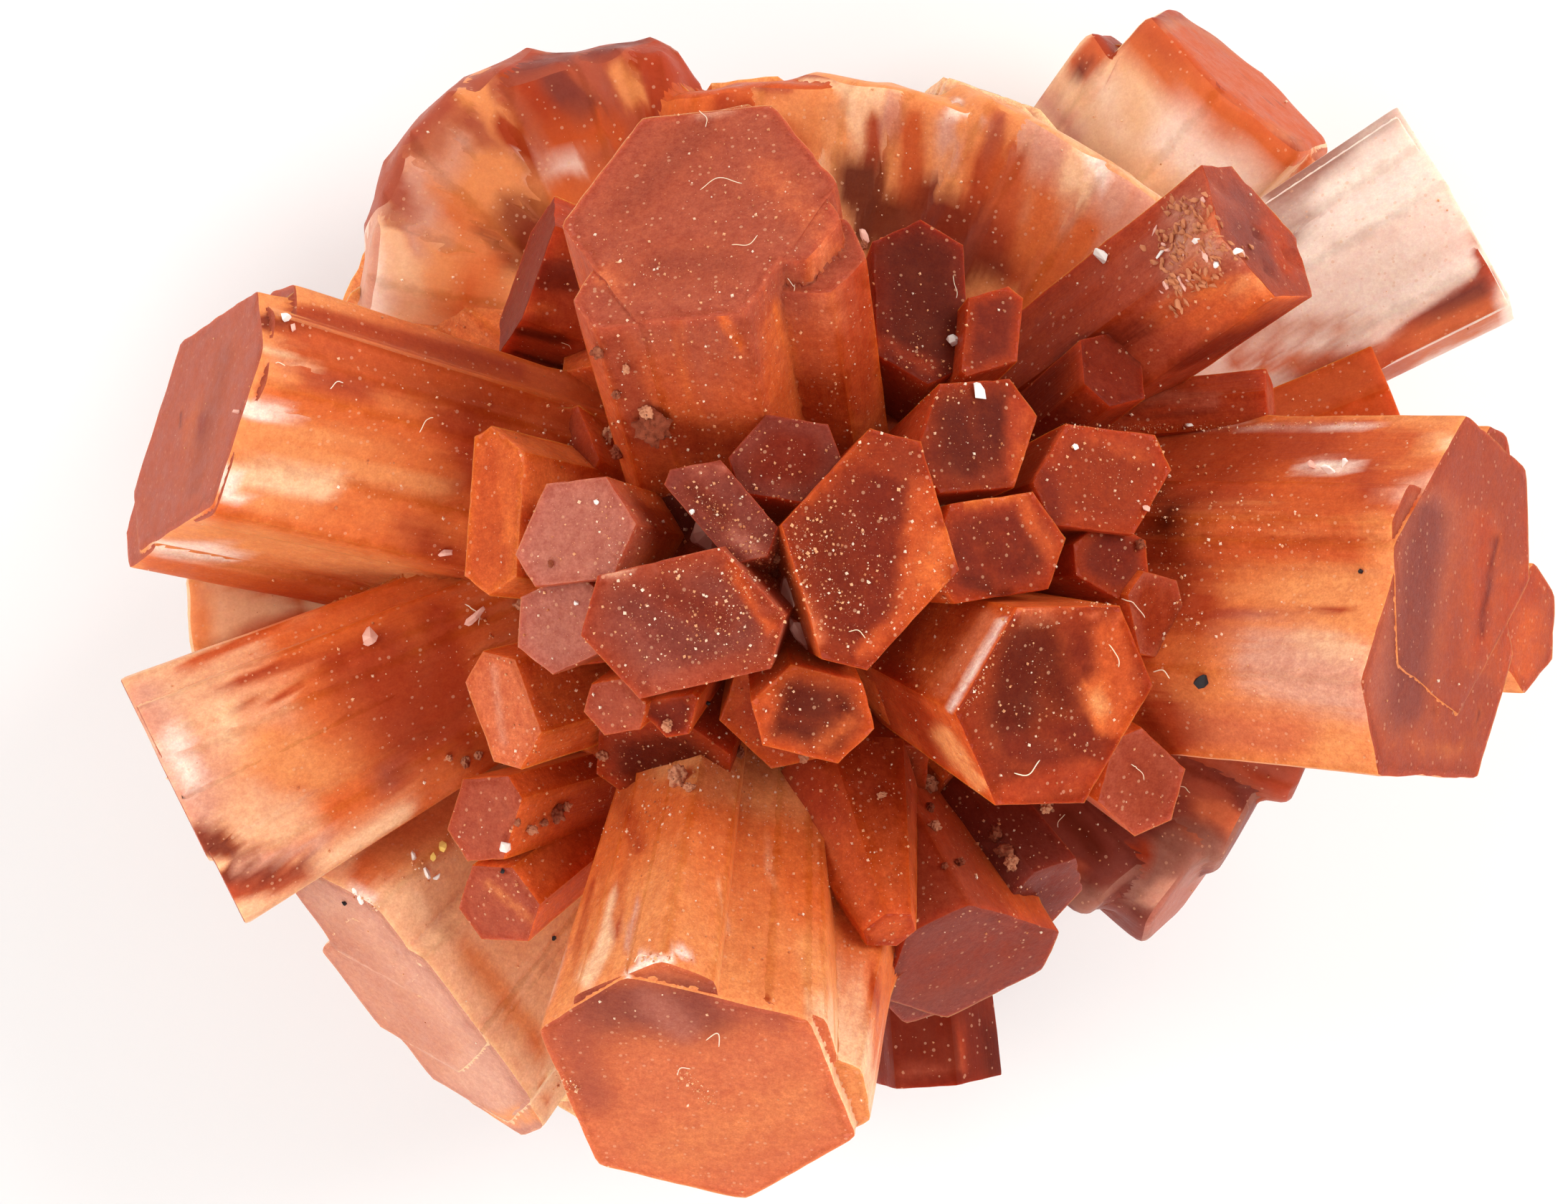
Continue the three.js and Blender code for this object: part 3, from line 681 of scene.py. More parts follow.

# Stains and streaks that belong to one crystal: iron-red along an edge, chalk on a bruised
# rim, milky or clear patches where the stone changes. Some are painted light and shade
# instead: painted shadows under a neighbour, painted highlights, and painted glows where
# light comes through. After the part they lie on, the end or the sides, each is its shade,
# strength, half width, and the x and y of the two places it runs between, on the centre's
# level as seen from above.
STAINS_AND_LIGHT = {
    "sliver": """
end: mauve 0.8 0.4 -2.6 3.2 -1.6 3.2; mauve 0.7 0.6 -1.2 1.2 -0.5 0.6; umber 0.6 0.7 -2.6 2.6 -1.6 1.8""",
    "back right second": """
side: coral 0.9 0.9 13.4 -7.3 14.4 -7.8; taupe 0.9 1 12.2 -8 14.2 -9; brick 0.8 0.6 12.7 -6.6 14.2 -6.9""",
    "north west prism": """
side: oxblood 0.9 1 -8.4 9.4 -6 9.2; umber 0.9 0.35 -8.6 7.6 -6.3 7.2; orange 0.7 0.35 -7.9 8.3 -6.6 8.1
side: umber 0.8 0.3 -8 6.8 -6 6.2""",
    "red ledge": """
side: brick 0.8 0.5 9.8 5.6 13.6 5.4; oxblood 0.7 0.3 9.6 4.9 14.2 4.9""",
    "fibrous fan": """
side: brick 0.9 0.6 -1.6 15.4 0.4 15.2; rust 0.8 0.9 -1.6 14.6 0.9 13.6
side: rust 0.9 0.45 -0.6 15.6 4.2 15.5; honey 0.9 0.9 1.7 14.6 2.2 12.6; rust 0.9 0.7 3.2 14.4 3.1 12.6
side: rose 0.8 0.45 3.7 14.9 3.6 13.6; amber 0.9 0.9 4.3 14.2 4.3 12; rose 0.9 0.7 5.4 14.2 5.4 12.9
side: milk 0.7 0.4 5.6 14.5 6.4 14.1; honey 0.9 0.7 5.5 12.2 5.3 11.2; rust 0.9 0.7 6.6 13.2 6.1 10.6
side: brick 0.8 0.6 7 14.2 6.8 12.9; amber 0.9 1.2 7.4 12.8 6.9 10; rust 0.9 1 6.4 11 7.4 8.9
side: rose 0.9 0.9 8.3 14.2 8.8 12.2; orange 0.9 1.2 8.6 11.8 8.2 9.6; cream 0.9 0.9 9.7 13.2 9.4 11.9
side: milk 0.8 0.5 9.9 13 10.4 12.2; rose 0.9 0.8 10.9 12.4 10.4 11; orange 0.9 0.8 9.8 10.9 9.2 9.6
side: umber 1 1.5 2.6 12 3.5 10.2; umber 1 1.7 4 10.6 5.3 9.4; oxblood 0.9 1.2 4.8 11.4 6.6 9.6""",
    "worn fan": """
side: milk 0.7 1.1 -12.9 10.6 -12.6 8; honey 1 1.6 -8.4 11.8 -7.6 10.8; honey 0.9 1.4 -9.8 8.6 -9.2 8
side: honey 0.9 2 -10.2 9.2 -9 9.4; orange 0.8 1 -9.4 8.4 -8.8 9.8; orange 0.8 1.4 -9.8 11.6 -9 11.2
side: honey 0.8 1.6 -9.6 12.4 -8 11.4; rose 0.9 1 -11.3 12.2 -11 10.4; brick 1 0.8 -12.1 12.2 -11.8 11.4
side: brick 0.9 1 -11.6 13.8 -9.6 15.4; rose 0.8 0.9 -10.7 12.8 -10 13.5
side: honey 0.9 0.8 -9.6 15.4 -8.5 14; amber 0.9 0.7 -8.8 16.2 -8.2 15.8; rust 1 1.5 -8 16.2 -6.2 14
side: plum 0.9 0.9 -6.9 15.6 -5.8 14.6; rust 0.9 0.6 -8.4 13.9 -7.8 13.2
side: amber 0.9 1.1 -6.6 13.7 -5.2 13.9; milk 1 0.6 -7.2 12.8 -6.3 12.7; rose 0.9 0.6 -7 12.1 -5.6 12.4
side: honey 1 0.7 -4.9 15.8 -4.3 14.8; rust 1 1 -3.9 16.6 -2.9 15.4; brick 0.8 0.6 -5.6 16.4 -4.8 16.4
side: oxblood 0.95 1.5 -7.6 10.6 -6.4 9.4""",
    # On the right pillar the upper side is painted rust and amber, darker than the lower side.
    "right pillar": """
end: mauve 0.5 1.8 20.4 1.8 19 -3.6; plum 0.7 1.6 20.2 1.6 19.6 -4.2; rust 0.6 0.9 22 1.6 21.8 -2.6
end: rust 0.8 1.4 23.2 -0.4 23 -2.8; amber 0.7 0.8 23.4 -1.4 23.2 -3; honey 0.4 0.8 20.2 -5.7 21.6 -5.6
end: oxblood 0.9 0.14 20.5 -4.2 20.9 -6; oxblood 0.8 0.14 21.9 -4.2 21.3 -5.6
end: oxblood 0.7 0.2 22.4 1.2 21.9 -1.8
side: rust 0.9 2.4 11.4 1.2 12.8 -0.8; rust 1 2.2 11.4 3 17 2.9; amber 1 1.6 16 2.8 20 2.6
side: rust 1 1 12 4.1 18.4 4.1; amber 1 1 18.4 4.1 20.4 4; amber 0.7 1.6 14 0.9 18 0.9
side: rust 0.9 0.7 18.2 3.1 18.6 2.5; honey 0.9 0.8 20.6 4 21.7 3.6; cream 0.8 0.4 20.9 4.1 21.7 3.5
side: rose 0.8 0.45 20.6 3 19.4 2.4; rust 1 0.22 13.6 -1.15 17.6 -1.2; rose 0.9 2.3 15.2 -2.8 18.2 -3.6
side: cream 0.5 0.8 16.8 -2 18.2 -2.4; coral 0.9 1.3 12.4 -4.6 16 -5; rust 0.9 1.3 11.2 -3.2 12.4 -5
side: milk 0.8 0.3 16.8 3.3 17.7 3.3; milk 0.6 0.1 11.4 4.6 18.6 4.6; umber 0.9 0.7 11.8 2.6 12.2 1.6""",
    "upper pillar": """
end: plum 0.5 1.6 -2.2 13.8 -4.6 11.4; plum 0.5 1.4 -3.6 9.6 -1.4 9.6; coral 0.5 1.2 -0.2 12.4 1.6 10.6
end: rose 0.7 0.25 -2.4 14.3 -0.6 14.3; coral 0.7 0.5 -5.4 9.2 -3.8 8.2
side: orange 0.7 0.4 -1.6 8 -0.9 6.8; orange 0.6 0.4 -3 7.8 -2.6 5.3; orange 0.6 0.4 0 8.4 0.2 7.2
side: rust 0.8 1.2 2.4 9.4 2.6 5.3; coral 0.7 0.9 1.4 10.2 1.6 8; rust 0.7 1.4 -4.4 4.4 -1.2 3.8
side: russet 0.8 1.2 -5 7 -4.2 4.8; orange 0.5 1.2 0.1 7.6 0.6 5.3""",
    # On the front pillar the wide honey streak near the root is painted light that lifts the shade there.
    "front pillar": """
end: plum 0.7 2.4 -5.6 -13.4 -2 -13.4; brick 0.7 1.8 -6.6 -14.4 -5.6 -16.2
end: brick 0.7 1.2 -1.2 -13.2 0.2 -13.8; mauve 0.5 0.9 -3.8 -13.3 -2.8 -14.2
end: honey 0.4 2.4 -3.4 -18 0.8 -16.4
side: milk 1 0.3 -4.1 -12.1 -2.5 -11.85; milk 0.7 0.25 -4.6 -12.5 -4.2 -12.2
side: cream 0.9 0.6 -5.9 -12.7 -5 -11; cream 0.9 0.25 -5 -9.8 -5.6 -12.4
side: rose 0.9 0.22 -4.2 -10.2 -4.6 -12; rust 0.7 0.3 -5.6 -9.4 -6.2 -12
side: rust 0.6 0.3 -4.6 -9 -4.9 -11.4; cream 0.5 0.2 -1.7 -9.6 -1.5 -11
side: cream 0.5 0.2 -0.2 -8.6 -0.1 -9.6; rose 0.8 0.5 -6.6 -11.4 -7.2 -13.4
side: honey 1 1.8 -3 -5.6 0.4 -6.8; rust 0.6 0.8 -4.6 -7.2 -4.2 -8.6; orange 0.9 1 0.2 -8 1 -10.4
side: rust 0.8 0.22 -0.5 -12.8 -0.3 -13.2; honey 0.8 1.1 1 -11.6 1.4 -13
side: cream 0.9 1.2 1.7 -13.8 2.4 -16.9""",
    "front side crystal": """
side: cream 0.95 1 1.9 -13.8 2.5 -16.9; orange 1 0.5 3.2 -12.4 3.4 -15.6
side: rust 0.9 0.3 2.9 -12.2 3.2 -13.2""",
    # On the left pillar the amber line along the lower edge is a painted shadow line.
    "left pillar": """
end: coral 0.5 0.6 -17.8 5 -18 4.2; rust 0.9 0.2 -17.7 4.9 -17.8 4.2
end: oxblood 0.8 0.16 -18.4 5.1 -18.4 4.6; plum 0.5 1 -18 2.6 -17 6.8
side: oxblood 1 0.55 -15.8 7.8 -13.4 7.6; rust 0.9 0.8 -14.6 8 -8 6.2; amber 1 1.3 -14.8 6.9 -7.8 5.2
side: rust 0.8 0.7 -14.2 5.9 -12.6 5.4; orange 0.9 0.9 -15.6 5.4 -9.4 4; milk 1 0.5 -16.4 5.1 -15.4 4.9
side: cream 0.9 0.35 -15.9 7 -14.8 6.5; honey 1 0.7 -15.9 3.9 -10.2 2.6
side: cream 0.9 0.9 -16.6 3.1 -13.8 2.6; milk 1 0.4 -17.1 3.1 -16.9 2.3
side: orange 0.9 0.6 -17.4 1.9 -11 0.4; milk 1 0.6 -19 0.75 -16.6 0.6; honey 0.9 0.8 -16.4 1 -11.4 -0.2
side: orange 1 0.5 -19.4 0.3 -14.6 -0.6; amber 0.9 0.5 -16 -0.8 -9.4 -1.2; rust 0.9 1.6 -9.6 4.6 -8 1
side: rust 0.7 1.2 -11.2 1.4 -9 -0.4""",
    "lower left pillar": """
side: rose 1 1.8 -19.4 -4.2 -18 -7; milk 0.6 0.7 -18.8 -5.2 -18.2 -6.4
side: cream 0.7 1 -18.2 -3.4 -16.2 -5.6; oxblood 1 0.42 -20.2 -4.4 -19.2 -6.4
side: rust 0.9 0.25 -19.3 -6.2 -18.5 -8; honey 1 1.6 -15.6 -5.6 -13.2 -6.4
side: orange 1 1.3 -14 -3.6 -12.4 -5.8; orange 0.9 1 -13.8 -7.4 -11.6 -6.2
side: rust 1 2.6 -12.8 -2.2 -11 -4.6; rust 1 1.3 -10.2 -1.4 -9.6 -4.8
side: brick 0.8 0.5 -12.3 -6.2 -11.6 -6.6; amber 0.9 0.4 -18.2 -2.8 -15.4 -1.6
side: rust 0.9 0.35 -17.2 -3.6 -14.6 -2.6; rust 1 0.22 -16.5 -4.1 -15 -3.8
side: orange 0.8 0.9 -15.2 -2.2 -12.6 -1.4; oxblood 1 0.75 -18 -8.3 -16.4 -8.7
side: rust 1 0.8 -17.4 -9.9 -14.9 -9.4; oxblood 0.8 0.4 -17.3 -9.5 -14.9 -9.2
side: amber 0.9 0.35 -18.2 -8.4 -16.9 -10.6; rose 1 0.35 -16.8 -9.15 -13.6 -8.2
side: cream 0.9 0.7 -13.6 -8.8 -11.4 -7.4""",
    "short left crystal": """
side: cream 0.9 1.2 -18.2 -0.8 -16.4 -1.2; honey 0.8 0.7 -18.2 -0.2 -17.9 -2.4
side: amber 0.9 0.8 -17 -2.4 -14.6 -1.4; orange 0.8 0.6 -16.6 0 -14.6 -0.6""",
    "bottom left pillar": """
end: mauve 0.5 1.8 -13.4 -11.4 -10.4 -14.8; honey 0.7 0.5 -9.4 -16.9 -7.2 -16.8
side: cream 1 1.5 -11.8 -10.2 -8.2 -14.6; honey 0.8 0.8 -9.4 -11.8 -7.4 -14.8
side: orange 0.9 0.4 -7.6 -14.6 -7 -16.4; orange 0.95 1 -12.8 -9.3 -10.4 -8
side: honey 1 1.8 -11.4 -8.2 -9.6 -6.6; milk 1 0.35 -13.1 -9.9 -12.6 -10.2""",
    "glowing pillar": """
end: amber 0.8 1.6 12.6 16.4 15.4 14.6; amber 0.7 1.1 14.6 15.4 16.8 13.4
side: milk 1 2.8 11.6 14.8 14.2 12.9; cream 0.8 1.2 10.6 16 11.4 14.2; orange 1 1.3 11 16.7 12.4 16
side: orange 1 1.3 12.4 16 14.4 14.4; orange 1 1.2 14.4 14.4 16.2 13; amber 1 0.8 11.3 17.1 13.4 15.9
side: amber 1 0.8 13.4 15.9 16.2 13.6; amber 1 0.8 9.3 15.6 10.2 16.6; oxblood 0.7 0.4 9.3 15.3 9.7 15.9
side: rose 0.8 0.9 8.2 14.8 9.2 13.6""",
    # On the white pillar the taupe patches near the top are painted shadow.
    "white pillar": """
side: taupe 0.55 1.7 16.6 13 19 14.2; taupe 0.8 1.2 15.2 12.2 16.2 10.8
side: taupe 0.7 1.2 15.8 12.2 17.1 12.9; rust 1 1 19.7 7.3 22 8.8; oxblood 0.9 0.55 20.2 7.7 21.9 8.8
side: orange 1 0.9 18.4 6.4 22.2 8; amber 0.9 1.1 16.4 6.2 19.2 6.4; coral 0.8 0.9 14.4 6.6 16.8 6.4
side: rose 0.7 0.9 14.6 7.6 18.2 7.7; rose 0.4 0.8 16.8 10.2 19.4 10.6; rose 0.35 0.7 19.2 9.2 21.6 10.4
side: rust 0.8 0.15 21.2 11.2 22.3 9.2""",
    # On the pitted prism the oxblood bands along the lower side and at the root are painted shadow.
    "pitted prism": """
end: mauve 0.4 0.8 13.6 12 14.4 11.2; rust 0.8 0.7 15.4 10.8 16 9.4
side: rust 0.8 0.8 10.4 9.8 12.2 11.4; rose 0.8 0.8 12.9 11.4 12.5 9.4; coral 0.9 0.9 13.6 10.8 13 8.8
side: rose 0.6 0.5 13.4 10.2 14.6 9.8; orange 1 0.9 13.6 8.7 16 8.9; honey 0.7 0.4 14.6 9.1 16 8.9
side: amber 0.9 1 12.2 8 14.6 8; oxblood 0.95 0.6 12.6 6.6 16.4 8; oxblood 0.8 1.1 9.2 6.8 11.2 7.4""",
    "lower right pillar": """
end: oxblood 0.5 1.6 4.6 -12.4 8 -11.4
side: amber 0.9 1.6 6.4 -7.6 8.2 -10.2; russet 0.8 1 5.6 -8.6 6.2 -10.4; amber 0.8 0.6 8 -8.4 8.8 -10.6""",
    "dark lower prism": """
side: oxblood 1 1.2 4.2 -13 6.4 -13.2; rust 0.9 0.25 5.8 -14.2 5.9 -15.6
side: brick 0.6 0.8 4 -15.6 5.4 -15.2; umber 0.9 0.7 6.7 -14.2 6.9 -15.8""",
    # On the back right prism the small rose streak near the tip is a painted highlight.
    "back right prism": """
end: mauve 0.9 1.4 12 -10.8 14.4 -9
side: taupe 1 1.8 11.4 -9.6 13.8 -8.2; rose 0.9 0.5 11.7 -10.1 12.6 -9.8
side: coral 1 0.8 13.4 -7.8 14.2 -7.4; rust 0.8 0.6 10.2 -9 11.6 -8.6; umber 0.6 0.8 9.3 -8.2 10.3 -7.4""",
    "back right stub": """
side: umber 0.7 0.8 9.2 -7.6 10.2 -8.8; brick 1 0.5 9.1 -9.2 9.6 -9.4; taupe 0.9 0.9 9.6 -10.6 11 -10""",
    "far right stub": """
side: rust 0.8 0.6 14.7 -6.2 16 -6.9""",
    # On the crown the orange and amber strip along the east margin is a painted glow where light comes
    # through.
    "crown": """
end: umber 0.5 1.8 1.6 1.6 2.2 -0.6; sienna 0.8 0.8 2.2 3.8 3.8 3.4; amber 0.9 1.1 4.7 2.4 4.3 -0.8
end: orange 1 0.9 5.3 0.9 4.9 -0.2; amber 0.9 0.6 2.8 -2.4 4.6 -0.8; amber 0.6 0.3 3 4.2 1 2.2
end: coral 0.8 0.3 0.2 0.9 1.4 -2.2""",
    "crown north": """
end: umber 0.7 1.4 5.4 4.9 6 3.4; rust 0.9 0.8 7.6 5.2 7.6 3; amber 0.7 0.35 7.9 4.8 7.5 3""",
    "crown east": """
end: umber 0.5 1 6.4 1.3 6.8 0.6; umber 0.7 0.6 5.9 -0.2 7.2 -0.6; amber 0.8 0.6 7.8 1.9 8.6 0.6
end: orange 0.8 0.35 6 2.2 7.8 2.3""",
    # On the big crown the amber, orange and honey patch at the east margin is a painted glow where light
    # comes through.
    "big crown": """
end: umber 0.8 1.8 7.6 -2.4 7.4 -4.4; umber 0.6 1.2 8.4 -2 9 -4; oxblood 0.8 0.9 7.4 -5.4 8.8 -5.8
end: amber 0.9 1.1 10.4 -2 10.9 -4.6; orange 0.9 0.7 9.9 -3.6 10.2 -4.6; honey 1 0.4 10 -3.9 10.1 -4.2
end: rust 0.8 0.8 7.2 -6.8 9.8 -6.2; coral 0.8 0.2 7.4 -1.15 10.7 -1.25
side: milk 1 0.22 7.1 -1.4 5.5 -4.2; coral 0.8 0.6 6.6 -1.4 5.2 -3.6; orange 0.9 1 5.2 -1.4 4.4 -3.2
side: rust 0.9 1 3.6 -3 5.2 -5.6; honey 0.8 0.5 5.2 -5 6.4 -6.6; amber 0.8 0.5 2.8 -2.4 4 -1.2""",
    "east first": """
end: oxblood 0.7 0.9 8.4 3 8.7 1.8; amber 0.5 0.6 9.9 4.2 11.4 3.6""",
    "crown west": """
end: mauve 0.4 1.3 -4.9 -1.6 -3.4 -3; oxblood 0.6 1.1 -3.4 -0.6 -1.6 -1.4
end: brick 0.7 0.6 -3.6 -3.6 -0.8 -2.8; amber 0.9 0.45 -1.4 0.2 -0.1 -1.7
end: rose 0.8 0.16 -5.3 -0.1 -1.9 0.5""",
    "crown south": """
end: umber 0.8 1.15 0.6 -3.9 1.2 -4.1; amber 0.8 0.5 0 -3.1 -0.3 -4.6; orange 0.6 0.6 1.4 -5.3 2.4 -4.6""",
    "dark north": """
end: rust 0.6 0.6 3.3 7.1 4.9 6.4
side: oxblood 0.8 0.7 3.1 10.4 3.3 8""",
    "west leaf": """
end: orange 0.6 0.5 -8.4 4 -8.2 0.9""",
    "south west first": """
end: rose 0.5 0.4 -8.7 -2.9 -8.4 -5.3""",
    "ledge second": """
end: honey 0.5 0.4 -8.9 -9.6 -7.6 -10.7""",
}


def stains_on(name):
    """The stains and painted light and shade of one crystal, each with the part of it that it lies on."""
    found = []
    for line in STAINS_AND_LIGHT.get(name, "").split("\n"):
        part, _, rows = line.strip().partition(": ")
        for row in filter(None, rows.split("; ")):
            shade, *numbers = row.split()
            found.append((part, shade, *map(float, numbers)))
    return found


def grow_fan(name, rows, **own):
    """Grows a fan of crystals, which share the stains and painted light that run across it."""
    for x, y, z, heading, rise, half_width, thickness, turn, look in rows:
        sides = [math.hypot(thickness * math.cos(a), half_width * math.sin(a))
                 for a in np.radians(turn + 60 * np.arange(6))]
        grow(look=look, tip=(x, y, z), heading=heading, rise=rise, length=FAN_LENGTH,
             root=FAN_ROOT, lobes=lobes_of([(0, 0, turn, sides)]), stains=stains_on(name), **own)


for name, pillar in PILLARS.items():
    grow(**{**pillar, "lobes": lobes_of(pillar["lobes"])}, stains=stains_on(name))
grow_fan("worn fan", WORN_FAN, rounding=0.9, ribbing=0.2, crisp=0.05, melt=12)
grow_fan("fibrous fan", FIBROUS_FAN, rounding=0.5, ribbing=0.7, crisp=0.4, melt=5)

# ---------------------------------------------------------------- single crystals
# Shorter crystals that crowd the top and fill the angles between the pillars. Most have
# a dark, cloudy heart with an orange margin where light gets through.
# Name, tip x, y, z, heading, rise, turn, the six side distances, length, root width and
# look.

SINGLES = [
    ("crown", 2.8, 0.7, 13.5, 13, 78, 17, (2.4, 3.4, 2.35, 2.3, 3.5, 2.4), 8, 0.7,
     "oxblood sienna amber rust oxblood"),
    ("crown north", 6.1, 4.0, 11.5, 33, 62, 41, (2.0, 1.7, 1.7, 2.2, 1.6, 1.5), 7, 0.7,
     "umber sienna rust rust oxblood"),
    ("crown east", 6.7, 0.7, 12.0, 6, 64, 39, (1.9, 1.5, 2.0, 2.2, 1.4, 1.9), 7, 0.7,
     "oxblood rust amber rust oxblood"),
    ("big crown", 8.3, -3.9, 12.5, -22, 60, 25, (3.1, 2.9, 2.8, 3.0, 3.0, 2.6), 9, 0.7,
     "oxblood sienna amber amber rust"),
    ("east first", 9.8, 2.9, 10.0, 17, 62, 28, (2.2, 1.4, 1.8, 2.3, 1.7, 1.8), 7, 0.7,
     "sienna rust rust rust oxblood"),
    ("east pin", 10.1, 0.4, 9.6, 3, 62, 5, (1.2, 1.0, 1.1, 1.3, 1.0, 1.1), 5, 1.0,
     "oxblood rust rust rust oxblood"),
    ("east second", 11.4, -1.2, 9.0, -6, 50, 16, (1.1, 1.1, 1.2, 0.9, 1.3, 1.0), 6, 1.0,
     "sienna brick amber rust oxblood"),
    ("south east", 11.0, -6.3, 8.5, -35, 58, 44, (1.2, 1.7, 1.3, 1.3, 1.6, 1.4), 6, 0.9,
     "russet brick amber rust oxblood"),
    ("west first", -5.9, 1.1, 12.0, 170, 66, 34, (1.8, 1.6, 1.5, 1.9, 1.4, 1.7), 7, 0.8,
     "mauve mauve brick amber rust"),
    ("west second", -6.3, -1.6, 11.2, 194, 64, 56, (1.6, 1.3, 1.4, 1.4, 1.2, 1.4), 7, 0.8,
     "mauve mauve brick amber rust"),
    ("crown west", -2.7, -1.5, 13.5, 210, 77, 44, (2.4, 1.9, 2.8, 2.5, 1.9, 2.9), 8, 0.7,
     "plum russet brick rust oxblood"),
    ("sliver", -1.5, 1.8, 13.0, 129, 78, 40, (0.9, 1.5, 1.9, 0.8, 1.6, 1.7), 7, 0.8,
     "plum plum brick rust oxblood"),
    ("behind sliver", 0.4, 3.3, 12.2, 95, 72, 20, (1.5, 1.3, 1.4, 1.6, 1.2, 1.4), 7, 0.8,
     "oxblood plum rust rust oxblood"),
    ("west leaf", -8.4, 1.9, 9.5, 170, 52, 55, (2.0, 2.3, 0.9, 2.2, 2.3, 1.1), 7, 0.9,
     "amber orange orange orange amber"),
    ("south west first", -8.1, -4.1, 8.5, 195, 50, 26, (1.1, 1.6, 1.6, 1.1, 1.7, 1.5), 8, 0.9,
     "coral coral orange amber rust"),
    ("south west second", -4.7, -4.0, 11.0, 220, 64, 45, (0.8, 0.8, 0.9, 0.9, 0.8, 0.9), 6, 0.9,
     "brick brick amber rust oxblood"),
    ("south west third", -3.0, -4.2, 11.0, 235, 66, 45, (0.9, 0.5, 0.8, 0.7, 0.7, 0.6), 6, 0.9,
     "oxblood rust amber rust oxblood"),
    ("crown south", 1.2, -4.2, 12.5, -74, 72, 14, (1.6, 1.3, 1.6, 1.7, 1.3, 1.6), 7, 0.8,
     "umber amber amber rust oxblood"),
    ("ledge first", -8.7, -7.4, 6.2, 195, 54, 40, (1.5, 1.2, 1.2, 1.5, 1.3, 1.0), 7, 0.9,
     "brick brick orange amber rust"),
    ("ledge second", -8.4, -10.1, 5.0, 218, 50, 43, (1.4, 1.3, 1.2, 1.4, 1.2, 1.3), 7, 0.9,
     "brick brick orange amber rust"),
    ("dark north", 4.4, 8.4, 8.0, 63, 62, 2, (1.4, 2.2, 2.1, 1.4, 2.6, 2.7), 8, 0.8,
     "umber oxblood rust oxblood umber"),
    ("dark north east", 6.5, 7.3, 9.0, 48, 62, 54, (1.5, 1.1, 0.8, 1.8, 1.2, 0.9), 7, 0.8,
     "oxblood rust rust rust oxblood"),
    ("red spike", 3.5, -10.7, 9.0, -72, 42, 30, (0.7, 0.8, 0.7, 0.7, 0.7, 0.7), 6, 3.0,
     "amber rust amber amber rust"),
    ("shaded first", 10.2, 6.1, 6.5, 40, 42, 12, (1.3, 1.1, 1.2, 1.3, 1.2, 1.1), 6, 0.9,
     "oxblood oxblood rust oxblood umber"),
    ("red ledge", 15.2, 5.2, 3.2, 5, 10, 12, (1.0, 0.9, 1.0, 1.1, 0.9, 1.0), 9, 0.9,
     "brick rust rust rust oxblood"),
]

for name, x, y, z, heading, rise, turn, sides, length, root, look in SINGLES:
    grow(look=look, tip=(x, y, z), heading=heading, rise=rise, length=length, root=root,
         lobes=lobes_of([(0, 0, turn, sides)]), spacing=0.25, end_spacing=0.3, ring_step=0.6,
         buried=2.0, ribbing=0.3, stains=stains_on(name))

# ---------------------------------------------------------------- the underside
# Crystals that point down and out, which nobody sees until the cluster is picked up, and
# the one straight down whose flat end it stands on. They are as orange as the pillars.
# Heading, rise, length from the centre, mean half width and look.

UNDERSIDE = [
    (20, -28, 17.5, 3.4, "brick brick honey orange rust"),
    (62, -24, 17.0, 2.9, "mauve brick cream orange rust"),
    (98, -34, 16.5, 3.2, "plum brick honey amber oxblood"),
    (140, -30, 17.5, 3.0, "brick mauve honey orange rust"),
    (178, -26, 18.0, 3.3, "rose mauve cream orange rust"),
    (216, -32, 17.0, 2.8, "brick brick honey amber rust"),
    (252, -22, 18.5, 3.1, "mauve brick cream orange rust"),
    (284, -36, 16.5, 3.0, "plum brick amber rust oxblood"),
    (325, -42, 17.0, 2.7, "brick mauve honey orange rust"),
    (352, -34, 17.0, 2.3, "rose mauve cream orange rust"),
    (42, -58, 16.2, 2.7, "umber amber amber rust oxblood"),
    (112, -60, 16.5, 2.5, "brick brick honey amber rust"),
    (165, -57, 16.0, 2.8, "plum rust amber rust oxblood"),
    (232, -59, 16.4, 2.6, "umber orange orange amber rust"),
    (305, -57, 16.0, 2.9, "brick mauve honey amber rust"),
]
TWIN_WIDTH = 0.6  # a twin's width, as a share of its neighbour's
TWIN_SHIFT = 0.65  # how far apart their middles are, in half widths
TWIN_STEP = (0.2, 0.9)  # how far short of its neighbour a twin ends
ROOT_WIDTH = 0.45  # width at the centre, as a share of the width at the tip
UNEVEN = (0.84, 1.14)  # a side's distance from the middle, in half widths
FOOT = [(0, 0, 14, (4.6, 4.3, 4.7, 4.4, 4.5, 4.2)), (2.6, 1.9, 18, (2.4, 2.6, 2.3, 2.5, 2.4, 2.2))]
COARSE = dict(spacing=0.45, ring_step=1.2, buried=7.0)

stream = number_stream(20)


def between(low, high):
    return low + (high - low) * next(stream)


def uneven_sides(half_width):
    return [half_width * between(*UNEVEN) for _ in range(6)]


def twin_of(turn, half_width):
    """A thinner crystal grown along the side of another, ending a little short of it."""
    bearing = between(0, 2 * math.pi)
    shift = TWIN_SHIFT * half_width
    sides = uneven_sides(TWIN_WIDTH * half_width)
    return shift * math.cos(bearing), shift * math.sin(bearing), turn, sides, between(*TWIN_STEP)


for heading, rise, length, half_width, look in UNDERSIDE:
    turn = between(0, 60)
    rows = [(0, 0, turn, uneven_sides(half_width)), twin_of(turn, half_width), twin_of(turn, half_width)]
    grow(look=look, tip=length * direction(heading, rise), heading=heading, rise=rise, length=length,
         root=ROOT_WIDTH, lobes=lobes_of(rows), end_spacing=0.6, **COARSE)

